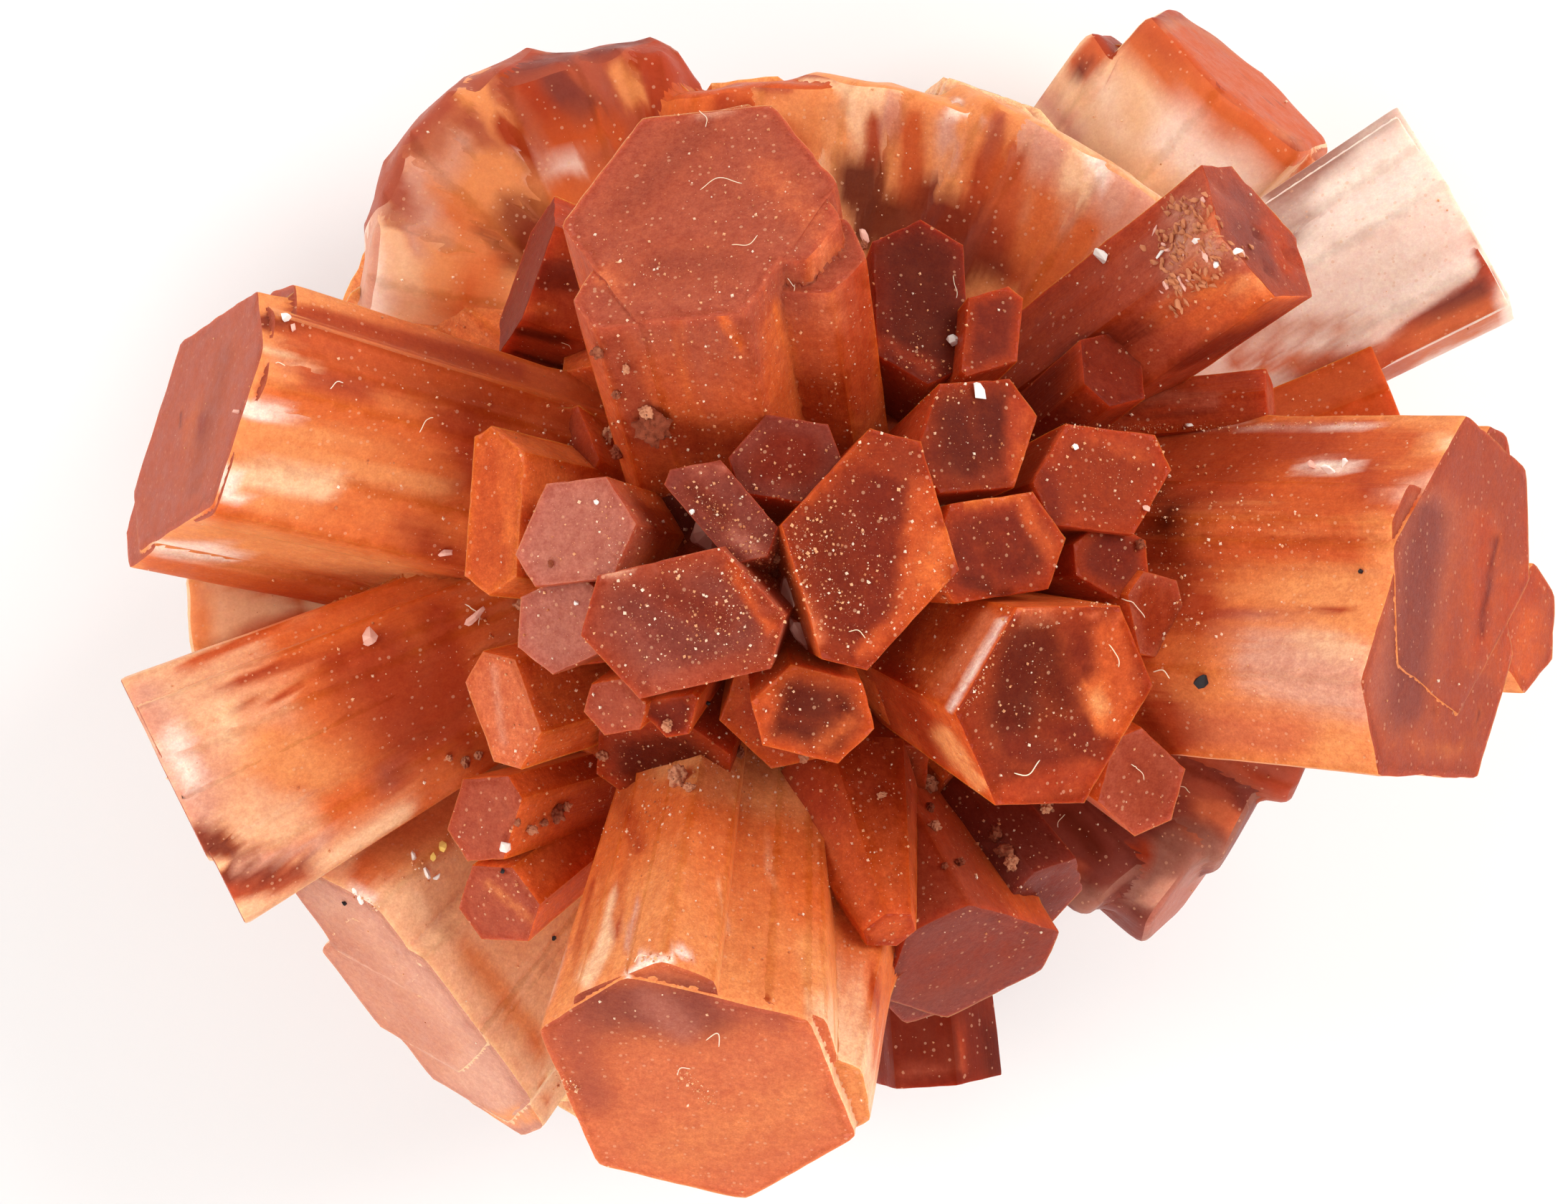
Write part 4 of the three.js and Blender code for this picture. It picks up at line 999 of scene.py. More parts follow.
grow(look="brick brick honey amber rust", tip=(0, 0, -CENTRE_HEIGHT), heading=0, rise=-90,
     length=CENTRE_HEIGHT, root=0.5, lobes=lobes_of(FOOT), end_spacing=0.8, pits=0.0, **COARSE)

# ---------------------------------------------------------------- the ground between them
# Short crystals evenly round the centre close the gaps, and under them the roots have run
# together into one lump of red-brown stone.

INFILL_COUNT = 48
INFILL_LENGTH = (8.2, 10.2)
INFILL_HALF_WIDTH = (1.3, 2.1)
INFILL_LOOKS = (
    "oxblood rust amber rust oxblood",
    "umber rust rust oxblood umber",
    "rust amber amber rust oxblood",
)
GOLDEN_ANGLE = 180 * (3 - math.sqrt(5))  # spaces them evenly round the centre
GROUND_RADIUS = 7.6
GROUND_BUMPS = ((0.05, 1.6, 77), (0.02, 0.6, 78))  # share of the radius, wavelength, seed

for k in range(INFILL_COUNT):
    rise = math.degrees(math.asin(1 - 2 * (k + 0.5) / INFILL_COUNT))
    heading = GOLDEN_ANGLE * k
    length = between(*INFILL_LENGTH)
    half_width = between(*INFILL_HALF_WIDTH)
    grow(look=INFILL_LOOKS[k % 3], tip=length * direction(heading, rise), heading=heading,
         rise=rise, length=length, root=ROOT_WIDTH, spacing=0.4, end_spacing=0.45, buried=6.0,
         ribbing=0.4, lobes=lobes_of([(0, 0, between(0, 60), uneven_sides(half_width))]))


def ground_lump():
    """The lump of stone in the middle, with the same stored values as the crystals."""
    mesh = bpy.data.meshes.new("ground")
    ball = bmesh.new()
    bmesh.ops.create_icosphere(ball, subdivisions=5, radius=GROUND_RADIUS * MM)
    ball.to_mesh(mesh)
    ball.free()
    points = np.array([v.co for v in mesh.vertices], np.float32)
    lower = sum(share * (1 + waves(points / MM, *bumps)) for share, *bumps in GROUND_BUMPS)
    points = points * (1 - lower)[:, None]
    mesh.vertices.foreach_set("co", (points + (0, 0, CENTRE_HEIGHT * MM)).astype(np.float32).ravel())
    corners = np.array([loop.vertex_index for loop in mesh.loops])
    none, full = np.zeros(len(corners)), np.ones(len(corners))
    store(mesh, grain=(points / MM)[corners], stain=np.zeros((len(corners), 4)), rim=none,
          edge=full, depth=full, end=none, crisp=full, melt=none,
          **look_colours("oxblood " * len(PARTS), len(corners)))
    return add_to_scene(mesh, "ground")


# ---------------------------------------------------------------- the cluster
# All the crystals grown together: one body of translucent stone, satin where it is
# smooth, stained by iron from cream at the tips to red-brown at the roots, cloudy and
# dark in the hearts of the upper crystals, and dusty on every face that looks up.

LIGHT_REACH = (1.0, 0.36, 0.16)  # how far red, green and blue light travel, relatively
LIGHT_DEPTH = 1.4  # how far red light travels in the stone
LIGHT_SHARE = 0.5  # how much of the light goes into the stone
PAINTED_GLOW = 0.05  # a faint painted glow in the stone's own colour, lifting even its gaps
BUMP_DEPTH = 0.06
SHARP_ANGLE = 32.0  # an edge bent by more than this stays a crisp edge
DUST_AMOUNT = 0.5
SPECK_COLOUR = (0.72, 0.40, 0.24, 1.0)
FILM_COLOUR = (0.50, 0.20, 0.11, 1.0)


def grow_together():
    """Joins every prism and the ground in one closed surface."""
    whole = ground_lump()
    others = bpy.data.collections.new("prisms")
    bpy.context.scene.collection.children.link(others)
    for prism in prisms:
        others.objects.link(prism)
    join = whole.modifiers.new("join", "BOOLEAN")
    join.operation = "UNION"
    join.solver = "MANIFOLD"
    join.operand_type = "COLLECTION"
    join.collection = others
    graph = bpy.context.evaluated_depsgraph_get()
    mesh = bpy.data.meshes.new_from_object(whole.evaluated_get(graph), preserve_all_data_layers=True,
                                           depsgraph=graph)
    for spent in [whole, *others.objects]:
        bpy.data.objects.remove(spent)
    bpy.data.collections.remove(others)
    return mesh


def keep_outside(body):
    """Drops the walls of any space shut in between crystals."""
    seen, largest = set(), []
    for start in body.faces:
        if start in seen:
            continue
        seen.add(start)
        shell, waiting = [], [start]
        while waiting:
            face = waiting.pop()
            shell.append(face)
            for edge in face.edges:
                fresh = [other for other in edge.link_faces if other not in seen]
                seen.update(fresh)
                waiting += fresh
        if len(shell) > len(largest):
            largest = shell
    kept = set(largest)
    bmesh.ops.delete(body, geom=[face for face in body.faces if face not in kept], context="FACES")


def melt_creases(body):
    """Rounds off the creases between crystals that have run into one another."""
    melt = body.loops.layers.float["melt"]
    rounds = {v: min((loop[melt] for loop in v.link_loops), default=0) for v in body.verts}
    for done in range(int(max(rounds.values()))):
        soft = [v for v, wanted in rounds.items() if wanted > done]
        bmesh.ops.smooth_vert(body, verts=soft, factor=0.5, use_axis_x=True, use_axis_y=True,
                              use_axis_z=True)


def dust_group():
    """A mask of settled dust: specks of several sizes, only where a face looks up."""
    group = bpy.data.node_groups.new("settled_dust", "ShaderNodeTree")
    for name, way in (("Amount", "INPUT"), ("Specks", "OUTPUT"), ("Film", "OUTPUT")):
        group.interface.new_socket(name=name, in_out=way, socket_type="NodeSocketFloat")
    amount = node(group, "NodeGroupInput")
    here = place_in_mm(group)
    normal = node(group, "ShaderNodeNewGeometry", output="Normal")
    lying = node(group, "ShaderNodeSeparateXYZ", {0: normal}, "Z").ramp(0.1, 0.75)
    cells = node(group, "ShaderNodeTexVoronoi", {"Vector": here, "Scale": 4.2, "Randomness": 1.0},
                 "Distance")
    size = node(group, "ShaderNodeSeparateColor", {0: cells.also("Color")})
    speck = cells.math("LESS_THAN", size.ramp(0.2, 1.0, 0.0, 0.24))
    film = noise(here, 0.9, 3.0).ramp(0.42, 0.75)
    leaving = group.nodes.new("NodeGroupOutput")
    connect(leaving, {"Specks": speck * lying * amount, "Film": film * lying * amount})
    return group


settled_dust = dust_group()


def stored(tree, name, output="Fac"):
    return node(tree, "ShaderNodeAttribute", output=output, attribute_name=name, attribute_type="GEOMETRY")


def lengthwise(grain, share):
    """The place on a crystal, squeezed along it so that a pattern runs in long streaks."""
    return node(grain.tree, "ShaderNodeVectorMath", {0: grain, 1: (1.0, 1.0, share)}, operation="MULTIPLY")


def toned(colour, saturation, value):
    values = {"Saturation": saturation, "Value": value, "Color": colour}
    return node(colour.tree, "ShaderNodeHueSaturation", values)


def aragonite_material():
    material, tree, shader = new_material("aragonite")
    here = place_in_mm(tree)
    grain = stored(tree, "grain", "Vector")
    rim, edge, on_end, depth, crisp = (stored(tree, n) for n in ("rim", "edge", "end", "depth", "crisp"))
    heart, margin, tip, middle, root = (stored(tree, part, "Color") for part in PARTS)
    broad = noise(lengthwise(grain, 0.10), 0.8, 3.0, 0.5)
    thin = noise(lengthwise(grain, 0.10), 3.5, 4.0, 0.6)
    cloud = noise(here, 0.28, 3.0, 0.5, 0.4)
    mottle = noise(here, 1.6, 4.0, 0.65)
    fleck = noise(here, 5.0, 3.0, 0.6)
    speckle = noise(here, 15.0, 3.0, 0.7)

    # The sides: tip, middle and root shades meet along ragged, streaky borders. Where the
    # stone is cloudy through and through the streaks are faint.
    inward = depth + (broad * 0.36 + thin * 0.16 - 0.26) * crisp + cloud * 0.4 - 0.2
    side = inward.ramp(0.0, 0.42).mix(tip, middle)
    side = inward.ramp(0.38, 0.82).mix(side, root)
    side = (broad.ramp(0.55, 0.78, 0.0, 0.35) * crisp).mix(side, tip)
    deeper = depth.ramp(0.1, 0.5).mix(middle, root)
    side = (thin.ramp(0.50, 0.25, 0.0, 0.4) * crisp).mix(side, deeper)

    # The ends: a cloudy heart that thins out towards a clearer margin.
    cloudy = rim + cloud * 0.5 + mottle * 0.3 - 0.4
    face = cloudy.ramp(-0.05, 0.55).mix(margin, heart)
    face = mottle.ramp(0.5, 0.8, 0.0, 0.25).mix(face, margin)
    colour = on_end.mix(side, face)

    # The crystal's own stains and its painted shadows, highlights and glows, with streaky
    # borders on the sides and cloudy ones elsewhere.
    smooth = on_end.math("MAXIMUM", crisp * -1.0 + 1.0)
    fray = smooth.blend(thin + broad - 0.5, mottle * 0.5 + 0.25)
    frayed = stored(tree, "stain", "Alpha") * (fray * 1.5 + 0.25)
    colour = frayed.ramp(0.08, 0.8, 0.0, 0.95).mix(colour, stored(tree, "stain", "Color"))

    # Fine scratches across the ends, and light and dark mottling over everything.
    scored = node(tree, "ShaderNodeMapping", {"Vector": grain, "Rotation": (0.0, 0.0, 0.5),
                                              "Scale": (0.7, 9.0, 1.0)})
    scratch = noise(scored, 1.0, 3.0, 0.6).ramp(0.58, 0.72, 0.0, 0.16) * on_end
    grainy = mottle.ramp(0.25, 0.75, 0.84, 1.12) * speckle.ramp(0.3, 0.7, 0.82, 1.18)
    grainy = grainy * fleck.ramp(0.3, 0.7, 0.84, 1.16)
    detail = crisp * 0.75 + 0.25
    shade = (grainy + scratch - 1.0) * detail + 1.0
    tint = node(tree, "ShaderNodeCombineColor", {0: shade * 0.55 + 0.45, 1: shade, 2: shade})
    colour = node(tree, "ShaderNodeMix", {0: 1.0, 6: colour, 7: tint}, 2, data_type="RGBA",
                  blend_type="MULTIPLY")

    # Beside an edge the colour is darkened, a painted shade that holds back the glow of the edges,
    #     # and round an end a thin pale line is a painted highlight where the rim catches the light.
    edge_painted_shade = (edge + mottle * 0.8 - 0.4).ramp(0.35, 0.0, 0.0, 0.5)
    colour = edge_painted_shade.mix(colour, toned(colour, 1.05, 0.72))
    rim_painted_highlight = (edge + fleck * 0.5 - 0.2).ramp(0.08, 0.0, 0.0, 0.55) * on_end
    colour = rim_painted_highlight.mix(colour, toned(colour, 0.9, 1.4))
    specks = node(tree, "ShaderNodeGroup", {"Amount": DUST_AMOUNT}, "Specks", node_tree=settled_dust)
    film = specks.also("Film")
    colour = (specks * 0.8).mix(colour, SPECK_COLOUR)
    colour = (film * 0.08).mix(colour, FILM_COLOUR)

    # Fine striation down the sides, a matt pitted skin on the ends.
    hairline = noise(lengthwise(grain, 0.05), 9.0, 3.0, 0.6)
    skin = noise(here, 7.0, 5.0, 0.7)
    height = on_end.blend(hairline * 0.7 + skin * 0.3, skin) * detail + specks * 0.6
    bump = node(tree, "ShaderNodeBump", {"Height": height, "Strength": 0.55, "Distance": BUMP_DEPTH * MM})

    # A faint emission in the stone's own colour is a painted glow. It stands in for light that has
    #     # gone round through the stone, and shows a little even in the gaps.
    connect(shader, {
        "Base Color": colour, "Emission Color": colour, "Emission Strength": PAINTED_GLOW,
        "Roughness": mottle.ramp(0.3, 0.7, 0.34, 0.52) + film * 0.3, "Normal": bump,
        "IOR": 1.6, "Specular IOR Level": 0.05, "Subsurface Weight": LIGHT_SHARE,
        "Subsurface Radius": LIGHT_REACH, "Subsurface Scale": LIGHT_DEPTH * MM})
    return material


cluster_mesh = grow_together()
cluster_body = bmesh.new()
cluster_body.from_mesh(cluster_mesh)
keep_outside(cluster_body)
melt_creases(cluster_body)
cluster_body.to_mesh(cluster_mesh)
cluster_body.free()
cluster_mesh.name = "aragonite_cluster"
cluster_mesh.shade_smooth()
cluster_mesh.set_sharp_from_angle(angle=math.radians(SHARP_ANGLE))
cluster_mesh.materials.clear()
cluster_mesh.materials.append(aragonite_material())
cluster = add_to_scene(cluster_mesh, "aragonite_cluster")
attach(cluster, "root")
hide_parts("crystal_cluster")

# ---------------------------------------------------------------- clay crumbs
# Lumps of the reddish clay the cluster grew in, left in the gaps between crystals, where
# they cling by themselves. Each is a rough ball pressed a little way into the stone.

# Place on the centre's level as seen from above, then size across.
CRUMBS = [
    (-3.75, 4.75, 0.95), (-3.95, 5.1, 0.5), (-4.6, 6.4, 0.3), (-5.4, 6.9, 0.4), (-4.9, 5.6, 0.3),
    (-5.2, 4.2, 0.45), (-4.8, 3.8, 0.35), (0.15, 0.1, 0.4), (0.0, 0.5, 0.3), (4.7, -6.6, 0.5),
    (4.9, -7.9, 0.4), (4.8, -7.3, 0.3), (5.7, -9.0, 0.35), (5.3, -9.1, 0.25), (6.9, -8.1, 0.4),
    (7.2, -8.6, 0.5), (7.4, -9.0, 0.45), (-7.6, -7.9, 0.4), (-7.2, -7.7, 0.3), (-6.8, -7.4, 0.45),
    (-6.5, -7.2, 0.3), (-8.0, -7.7, 0.25), (-10.1, -5.7, 0.25), (-9.6, -5.8, 0.35), (-9.2, -5.6, 0.25),
    (-2.9, -6.4, 0.55), (-2.6, -6.7, 0.35), (-5.3, -5.6, 0.3), (-7.9, -1.0, 0.3), (8.4, -7.3, 0.4),
    (2.8, 10.2, 0.3), (5.2, 2.1, 0.25), (-6.9, 0.3, 0.25), (-1.1, -5.6, 0.3), (0.9, -5.7, 0.3),
    (-3.3, -4.7, 0.35), (11.3, 0.9, 0.35), (3.3, -6.9, 0.25),
]
CRUMB_SINK = 0.25  # how deep a crumb sits, as a share of its size
CRUMB_LUMPS = 0.34  # how uneven it is
CRUMB_SQUEEZE = (0.65, 1.15)  # how much narrower or wider it is each way
CLAY_SHADES = ((0.25, 0.05, 0.02, 1.0), (0.66, 0.28, 0.15, 1.0))
CLAY_GAPS = (0.10, 0.025, 0.015, 1.0)

surface = BVHTree.FromPolygons([v.co / MM - Vector((0, 0, CENTRE_HEIGHT)) for v in cluster_mesh.vertices],
                               [p.vertices for p in cluster_mesh.polygons])
draw = np.random.default_rng(7)


def land_at(x, y):
    """Where the camera's view through (x, y) on the centre's level meets the cluster."""
    eye = Vector((*CAMERA_SHIFT, CAMERA_DISTANCE))
    place, normal, _, _ = surface.ray_cast(eye, Vector((x, y, 0)) - eye)
    return place, normal


def joined(name, parts, tones, material):
    """One mesh of many small ones, each a list of points and a list of faces, with a tone."""
    points, faces, tone = [], [], []
    for (some, faces_of), value in zip(parts, tones):
        faces += [[len(points) + k for k in face] for face in faces_of]
        points += [tuple((np.array(p) + (0, 0, CENTRE_HEIGHT)) * MM) for p in some]
        tone += [value] * len(some)
    mesh = bpy.data.meshes.new(name)
    mesh.from_pydata(points, [], faces)
    layer = mesh.attributes.new("tone", "FLOAT", "POINT")
    layer.data.foreach_set("value", np.array(tone, np.float32))
    mesh.materials.append(material)
    return mesh


def ball(subdivisions):
    """The points and faces of a round ball of radius 1."""
    made = bmesh.new()
    bmesh.ops.create_icosphere(made, subdivisions=subdivisions, radius=1)
    points = np.array([v.co for v in made.verts])
    faces = [[v.index for v in f.verts] for f in made.faces]
    made.free()
    return points, faces


def crumb(x, y, size, number, round_ball):
    """A lumpy ball that sits on the surface at (x, y), squeezed a little to one side."""
    place, normal = land_at(x, y)
    points, faces = round_ball
    lumps = waves(points, 0.9, number) + 0.6 * waves(points, 0.4, number + 1)
    squeeze = draw.uniform(*CRUMB_SQUEEZE, 3)
    centre = np.array(place + normal * size * (0.5 - CRUMB_SINK))
    return centre + points * (1 + CRUMB_LUMPS * lumps[:, None]) * squeeze * size / 2, faces


def clay_material():
    material, tree, shader = new_material("clay")
    here = place_in_mm(tree)
    patches = stored(tree, "tone") + noise(here, 2.6, 4.0) * 1.2 - 0.6
    colour = patches.ramp(0.1, 0.9).mix(*CLAY_SHADES)
    gaps = noise(here, 6.0, 4.0, 0.7)
    bump = node(tree, "ShaderNodeBump", {"Height": gaps, "Strength": 0.8, "Distance": 0.1 * MM})
    connect(shader, {"Base Color": gaps.ramp(0.42, 0.3).mix(colour, CLAY_GAPS), "Normal": bump,
                     "Roughness": gaps.ramp(0.3, 0.6, 0.95, 0.7), "Specular IOR Level": 0.2})
    return material


crumb_ball = ball(4)
crumb_parts = [crumb(*row, 300 + 2 * number, crumb_ball) for number, row in enumerate(CRUMBS)]
crumb_tones = draw.uniform(0, 1, len(crumb_parts))
crumb_mesh = joined("clay_crumbs", crumb_parts, crumb_tones, clay_material())
crumb_mesh.shade_smooth()
clay_crumbs = add_to_scene(crumb_mesh, "clay_crumbs")
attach(clay_crumbs, "root")

# ---------------------------------------------------------------- mineral grains
# Loose bits caught on the crystals: white and pink calcite, flecks of yellow mica, black
# manganese ore, and splinters of the crystals' own stone. They are held by nothing but
# their roughness.

# Place as seen from above, length, width, and kind.
GRAINS = [
    (6.3, 5.6, 0.62, 0.42, "white"), (10.2, 9.84, 0.7, 0.42, "white"), (2.8, 10.45, 0.6, 0.28, "pink"),
    (5.65, 7.2, 0.42, 0.4, "white"), (-8.3, -8.45, 0.42, 0.4, "white"), (-12.55, -2.05, 0.62, 0.58, "pink"),
    (13.3, -3.3, 0.55, 0.4, "black"), (18.2, 0.05, 0.2, 0.18, "black"), (-6.85, -11.3, 0.22, 0.18, "black"),
    (-8.4, -9.2, 0.22, 0.18, "black"), (-13.3, -10.2, 0.2, 0.16, "black"), (-7.9, -0.95, 0.3, 0.2, "black"),
    (-10.3, -8.5, 0.4, 0.3, "yellow"), (-10.6, -8.8, 0.3, 0.2, "yellow"), (-11.2, -8.8, 0.35, 0.2, "white"),
    (-10.8, -9.3, 0.45, 0.2, "white"), (-10.5, -9.4, 0.3, 0.2, "white"), (-15.2, 7.9, 0.4, 0.3, "white"),
    (-14.95, 7.6, 0.3, 0.2, "pink"), (-13.0, -9.9, 0.3, 0.15, "white"), (-12.8, -10.1, 0.35, 0.18, "white"),
    (13.1, 10.3, 0.3, 0.22, "white"), (14.3, 9.95, 0.4, 0.22, "white"), (13.7, 9.6, 0.25, 0.2, "white"),
    (9.3, 3.9, 0.25, 0.2, "white"), (11.5, 2.0, 0.28, 0.24, "pink"),
    (-2.55, 1.9, 0.2, 0.18, "white"), (-5.5, 2.2, 0.18, 0.18, "white"), (-6.1, -0.9, 0.22, 0.2, "white"),
    (17.2, 3.1, 0.6, 0.3, "white"), (16.7, 3.3, 0.4, 0.3, "pink"), (17.7, 3.35, 0.35, 0.25, "white"),
    (-2.1, -4.0, 0.2, 0.16, "black"), (12.9, 4.6, 0.3, 0.2, "white"), (-16.6, 5.0, 0.3, 0.2, "pink"),
]
# Flakes broken off a crystal and stuck in a gap: place, length, width, turn and kind.
FLAKES = [
    (-2.1, 1.1, 1.3, 0.8, -35, "pink"), (0.4, -0.8, 1.2, 0.7, -65, "pink"),
    (0.85, -1.75, 1.3, 0.4, -60, "pink"), (12.0, 9.9, 0.5, 0.14, 50, "white"),
    (-9.3, -1.3, 0.9, 0.3, 45, "pink"), (-10.2, 0.65, 0.5, 0.25, 10, "pink"),
]
# A broken patch on the pitted prism is all splinters, which lie side by side. Places they
# scatter round as seen from above, how far, and how many.
SPLINTERS = [
    (12.8, 11.2, 0.35, 45), (12.5, 10.2, 0.45, 50), (12.6, 9.0, 0.4, 40), (13.5, 10.3, 0.4, 40),
    (13.4, 9.4, 0.35, 24), (14.4, 9.9, 0.2, 10),
]
SPLINTER_SIZE = (0.12, 0.42)
SPLINTER_WIDTH = (0.25, 0.6)  # as a share of the length
SPLINTER_TURN = -50  # the way most splinters lie
SPLINTER_SWING = 25  # how far others are turned from it
SPLINTER_KINDS = ["clear"] * 14 + ["pink"]
GRAIN_KINDS = {  # the darkest and lightest shade of each kind of mineral
    "white": ((0.80, 0.72, 0.64, 1.0), (0.95, 0.92, 0.88, 1.0)),
    "pink": ((0.70, 0.30, 0.22, 1.0), (0.88, 0.55, 0.45, 1.0)),
    "yellow": ((0.75, 0.42, 0.05, 1.0), (0.95, 0.72, 0.22, 1.0)),
    "black": ((0.018, 0.014, 0.016, 1.0), (0.018, 0.014, 0.016, 1.0)),
    "clear": ((0.40, 0.11, 0.04, 1.0), (0.66, 0.27, 0.13, 1.0)),
}
GRAIN_CORNERS = 14  # points that a grain's faces are stretched over
GRAIN_LIFT = 0.3  # how high its middle lies, as a share of its width


def shard(points):
    """The smallest closed solid round a few points."""
    made = bmesh.new()
    for point in points:
        made.verts.new(point)
    hull = bmesh.ops.convex_hull(made, input=made.verts)
    inner = {v for v in hull["geom_interior"] if isinstance(v, bmesh.types.BMVert)}
    bmesh.ops.delete(made, geom=list(inner), context="VERTS")
    made.verts.ensure_lookup_table()
    made.verts.index_update()
    found = [tuple(v.co) for v in made.verts], [[v.index for v in f.verts] for f in made.faces]
    made.free()
    return found


def grain(x, y, length, width, turn):
    """A sharp-edged bit of mineral that lies on the surface."""
    place, normal = land_at(x, y)
    rays = draw.normal(size=(GRAIN_CORNERS, 3))
    rays /= np.linalg.norm(rays, axis=1, keepdims=True)
    along = direction(turn, 0)
    stretched = rays * width / 2 + np.outer(rays @ along, along) * (length - width) / 2
    return shard(stretched + np.array(place + normal * width * GRAIN_LIFT))


def grain_material():
    material, tree, shader = new_material("loose_minerals")
    kind = stored(tree, "tone")
    cloudy = noise(place_in_mm(tree), 3.0, 3.0)
    first, *others = (cloudy.mix(*shades) for shades in GRAIN_KINDS.values())
    colour = first
    for number, other in enumerate(others):
        colour = kind.ramp(number + 0.4, number + 0.6).mix(colour, other)
    connect(shader, {"Base Color": colour, "Roughness": cloudy.ramp(0.3, 0.7, 0.3, 0.55),
                     "Specular IOR Level": 0.2})
    return material


loose = [(x, y, length, width, draw.uniform(0, 180), kind) for x, y, length, width, kind in GRAINS]
loose += FLAKES
for x, y, spread, count in SPLINTERS:
    for _ in range(count):
        length = draw.uniform(*SPLINTER_SIZE)
        place = np.array([x, y]) + draw.normal(0, spread, 2)
        loose.append((*place, length, length * draw.uniform(*SPLINTER_WIDTH),
                      draw.normal(SPLINTER_TURN, SPLINTER_SWING), draw.choice(SPLINTER_KINDS)))
grain_parts = [grain(*row[:5]) for row in loose]
grain_tones = [float(list(GRAIN_KINDS).index(row[5])) for row in loose]
grain_mesh = joined("mineral_grains", grain_parts, grain_tones, grain_material())
mineral_grains = add_to_scene(grain_mesh, "mineral_grains")
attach(mineral_grains, "root")

# ---------------------------------------------------------------- lint
# Stray fibres of pale cotton lint that lie over the crystals and catch on their edges.
# Each is a thin thread that bends and rises off the stone here and there.

# Ends of each fibre as seen from above, half its bow sideways as a share of its length,
# and its thickness.
LINT = [
    ((-13.8, 5.7), (-13.4, 5.9), 0.1, 0.03), ((-11.0, 4.4), (-10.6, 4.8), 0.1, 0.03),
    ((-9.6, -1.0), (-9.2, -1.6), 0.15, 0.035), ((-2.1, -14.4), (-1.7, -14.6), 0.35, 0.03),
    ((-1.3, 10.1), (-0.5, 10.4), -0.06, 0.025), ((-2.3, 11.9), (-1.0, 12.1), 0.06, 0.022),
    ((-2.3, 14.3), (-2.1, 13.8), 0.08, 0.02), ((10.8, -0.8), (11.4, -1.4), 0.08, 0.03),
    ((10.3, -2.2), (10.6, -2.9), 0.1, 0.03), ((11.8, -3.0), (12.3, -3.2), 0.1, 0.035),
    ((7.4, -6.2), (8.2, -5.8), -0.1, 0.035), ((2.3, -1.8), (2.8, -2.0), 0.1, 0.025),
    ((11.0, -5.9), (11.4, -6.4), 0.1, 0.025), ((12.6, -6.6), (12.9, -6.8), 0.05, 0.025),
    ((5.5, 9.2), (5.6, 8.5), 0.05, 0.02), ((-3.0, -15.5), (-2.6, -15.3), 0.15, 0.025),
    ((0.4, 9.2), (0.6, 8.7), 0.1, 0.02), ((-6.6, 7.2), (-6.3, 7.0), 0.1, 0.02),
    ((-15.5, 6.5), (-15.2, 6.4), 0.1, 0.025), ((-4.3, -12.1), (-3.9, -11.9), 0.1, 0.03),
    ((8.8, -7.9), (9.0, -7.5), 0.1, 0.02),
]
LINT_STEPS = 18  # points along a fibre
LINT_SIDES = 6
LINT_LIFT = 0.05  # how far it hangs above the stone
LINT_SWAY = 0.05  # how far it waves to both sides, as a share of its length
LINT_PHASE = 6.0  # a wave starts anywhere up to this, in radians
LINT_TAPER = 0.5  # thickness of its tips, as a share of the rest
LINT_SLACK = 4  # rounds of pulling it straight over the hollows
LINT_SHADES = ((0.86, 0.62, 0.38, 1.0), (0.95, 0.84, 0.70, 1.0))


def fibre(start, finish, bow, thickness):
    """A closed thin tube laid over the surface between two places."""
    share = np.linspace(0, 1, LINT_STEPS)
    start, run = np.array(start), np.subtract(finish, start)
    wave = np.sin(2 * math.pi * share + draw.uniform(0, LINT_PHASE))
    sway = 2 * bow * np.sin(math.pi * share) + LINT_SWAY * wave
    flat = start + np.outer(share, run) + np.outer(sway, [-run[1], run[0]])
    landed = [land_at(x, y) for x, y in flat]
    lift = LINT_LIFT + thickness
    line = np.array([place + normal * lift for place, normal in landed if place])
    for _ in range(LINT_SLACK):
        line[1:-1, 2] = np.maximum(line[1:-1, 2], (line[:-2, 2] + line[2:, 2]) / 2)
    points = []
    for k, centre in enumerate(line):
        way = line[min(k + 1, len(line) - 1)] - line[max(k - 1, 0)]
        way /= np.linalg.norm(way)
        one = np.cross(way, UP)
        one /= np.linalg.norm(one)
        two = np.cross(way, one)
        radius = thickness / 2 * (LINT_TAPER if k in (0, len(line) - 1) else 1)
        for angle in np.arange(LINT_SIDES) * 2 * math.pi / LINT_SIDES:
            points.append(centre + radius * (math.cos(angle) * one + math.sin(angle) * two))
    faces = [list(range(LINT_SIDES)), list(range(len(points) - 1, len(points) - LINT_SIDES - 1, -1))]
    for k in range(0, (len(line) - 1) * LINT_SIDES, LINT_SIDES):
        for j in range(LINT_SIDES):
            a, b = k + j, k + (j + 1) % LINT_SIDES
            faces.append([a, b, b + LINT_SIDES, a + LINT_SIDES])
    return points, faces


def lint_material():
    material, tree, shader = new_material("cotton_lint")
    patches = noise(place_in_mm(tree), 1.2, 2.0)
    connect(shader, {"Base Color": patches.mix(*LINT_SHADES), "Roughness": 0.6,
                     "Subsurface Weight": 0.3, "Subsurface Scale": 0.1 * MM})
    return material


lint_mesh = joined("lint", [fibre(*row) for row in LINT], np.zeros(len(LINT)), lint_material())
lint_mesh.shade_smooth()
lint = add_to_scene(lint_mesh, "lint")
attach(lint, "root")

# ---------------------------------------------------------------- dust
# Pale stone dust that has settled on every face that looks up, thickest in the middle of
# the cluster and along a few broken edges. Each speck is a tiny angular grain.

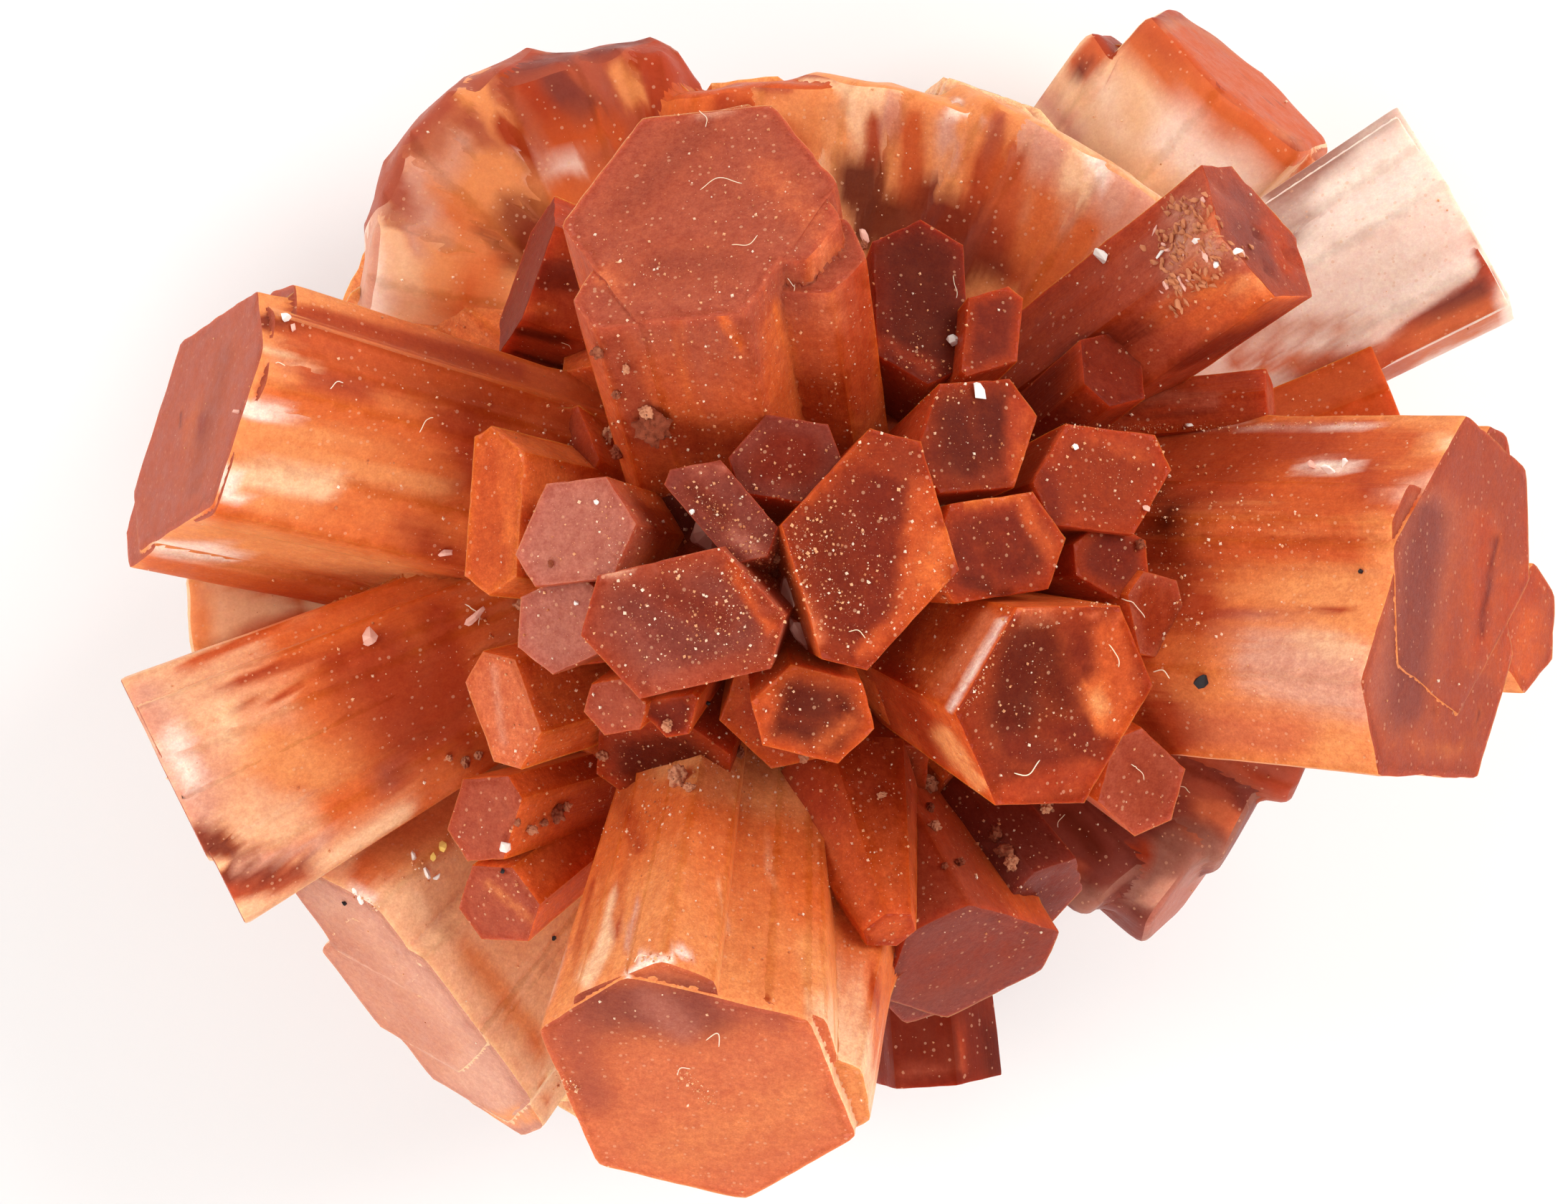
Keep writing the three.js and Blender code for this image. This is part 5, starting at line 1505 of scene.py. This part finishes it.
DUST_COUNT = 7500
DUST_SPREAD = 8.5  # how far from the middle most of it falls
DUST_STRETCH = 1.25  # how much further it spreads along x than along y
DUST_SIZE = (0.02, 0.16)
DUST_FINENESS = 6  # the higher, the rarer are large specks
DUST_LIFT = 0.25  # how high a speck's middle lies, as a share of its size
DUST_UNEVEN = (0.5, 1.0)  # how far its corners lie out
LEVEL_ENOUGH = 0.12  # dust stays on faces that look up more than this
GRIT = (np.array([(1, 0, 0), (0, 1, 0), (-1, 0, 0), (0, -1, 0), (0, 0, 1), (0, 0, -1)], float),
        [[0, 1, 4], [1, 2, 4], [2, 3, 4], [3, 0, 4], [1, 0, 5], [2, 1, 5], [3, 2, 5], [0, 3, 5]])
DUST_SHADES = ((0.50, 0.15, 0.05, 1.0), (0.84, 0.42, 0.20, 1.0), (0.95, 0.78, 0.60, 1.0))
# Two ends of a drift as seen from above, how wide it scatters, and how many specks.
DRIFTS = [
    ((7.5, -0.85), (10.4, -1.0), 0.1, 200), ((7.5, -1.1), (5.9, -4.3), 0.12, 80),
    ((8.9, 4.55), (14.9, 4.5), 0.12, 220), ((15.0, 4.6), (18.8, 4.6), 0.1, 70),
    ((-2.9, -15.4), (-1.9, -16.4), 0.3, 120), ((-6.8, -15.6), (-6.0, -16.0), 0.25, 80),
    ((-4.4, -12.0), (-2.4, -11.9), 0.15, 120), ((5.2, -0.4), (5.4, -0.9), 0.15, 40),
    ((-6.2, 10.6), (-3.4, 9.2), 0.5, 60), ((-12.9, -10.0), (-12.3, -10.4), 0.15, 60),
    ((-5.4, 1.9), (-4.6, -0.4), 0.5, 90), ((-4.6, -0.6), (-0.6, -2.2), 1.4, 320),
    ((-2.6, 2.6), (-0.7, 1.0), 0.5, 160), ((1.2, 2.4), (3.8, -1.8), 2.2, 260),
    ((-9.9, -8.2), (-11.2, -9.4), 0.5, 120), ((-2.2, 13.6), (0.6, 9.4), 2.0, 160),
    ((-1.8, -4.9), (-0.4, -8.6), 2.4, 380), ((-5.4, -6.4), (-3.0, -8.4), 1.4, 240),
    ((3.9, 8.4), (5.6, 4.4), 1.3, 220), ((9.0, 3.6), (12.6, 0.6), 1.8, 320),
    ((12.0, 2.6), (16.6, 0.6), 1.4, 200), ((12.2, -1.0), (14.0, -3.4), 1.0, 120),
    ((-1.0, 8.6), (-4.4, 6.0), 2.0, 220), ((-6.6, -3.4), (-8.0, -6.4), 1.4, 160),
    ((2.2, -6.2), (3.6, -10.6), 1.4, 240), ((5.4, -7.2), (8.0, -9.6), 1.2, 140),
    ((7.0, -2.0), (9.6, -6.0), 1.8, 160), ((-7.8, -8.4), (-8.6, -10.2), 1.0, 60),
]


def speck(x, y, size):
    """A tiny angular grain on a face that looks up, or nothing where no face does."""
    place, normal = land_at(x, y)
    if not place or normal.z < LEVEL_ENOUGH:
        return None
    points, faces = GRIT
    shaped = points * draw.uniform(*DUST_UNEVEN, points.shape) * size / 2
    turn = draw.uniform(0, math.pi)
    cos, sin = math.cos(turn), math.sin(turn)
    shaped = shaped @ np.array([[cos, -sin, 0], [sin, cos, 0], [0, 0, 1]])
    return np.array(place + normal * size * DUST_LIFT) + shaped, faces


def dust_places():
    """Where specks fall as seen from above, closer together towards the middle."""
    distance = np.abs(draw.normal(0, DUST_SPREAD, DUST_COUNT))
    bearing = draw.uniform(0, 2 * math.pi, DUST_COUNT)
    places = [np.column_stack([DUST_STRETCH * distance * np.cos(bearing), distance * np.sin(bearing)])]
    for start, finish, spread, count in DRIFTS:
        share = draw.uniform(0, 1, (count, 1))
        middle = np.array(start) + share * np.subtract(finish, start)
        places.append(middle + draw.normal(0, spread / 2, (count, 2)))
    return np.vstack(places)


def dust_material():
    material, tree, shader = new_material("stone_dust")
    tone = stored(tree, "tone")
    dark, pale, palest = DUST_SHADES
    colour = tone.ramp(0.6, 1.0).mix(tone.ramp(0.0, 0.6).mix(dark, pale), palest)
    connect(shader, {"Base Color": colour, "Roughness": tone.ramp(0.0, 1.0, 0.7, 0.4)})
    return material


smallest, largest = DUST_SIZE
dust_parts = []
for x, y in dust_places():
    made = speck(x, y, smallest + (largest - smallest) * draw.uniform() ** DUST_FINENESS)
    if made:
        dust_parts.append(made)
dust_tones = draw.uniform(0, 1, len(dust_parts))
stone_dust = add_to_scene(joined("stone_dust", dust_parts, dust_tones, dust_material()), "stone_dust")
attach(stone_dust, "root")
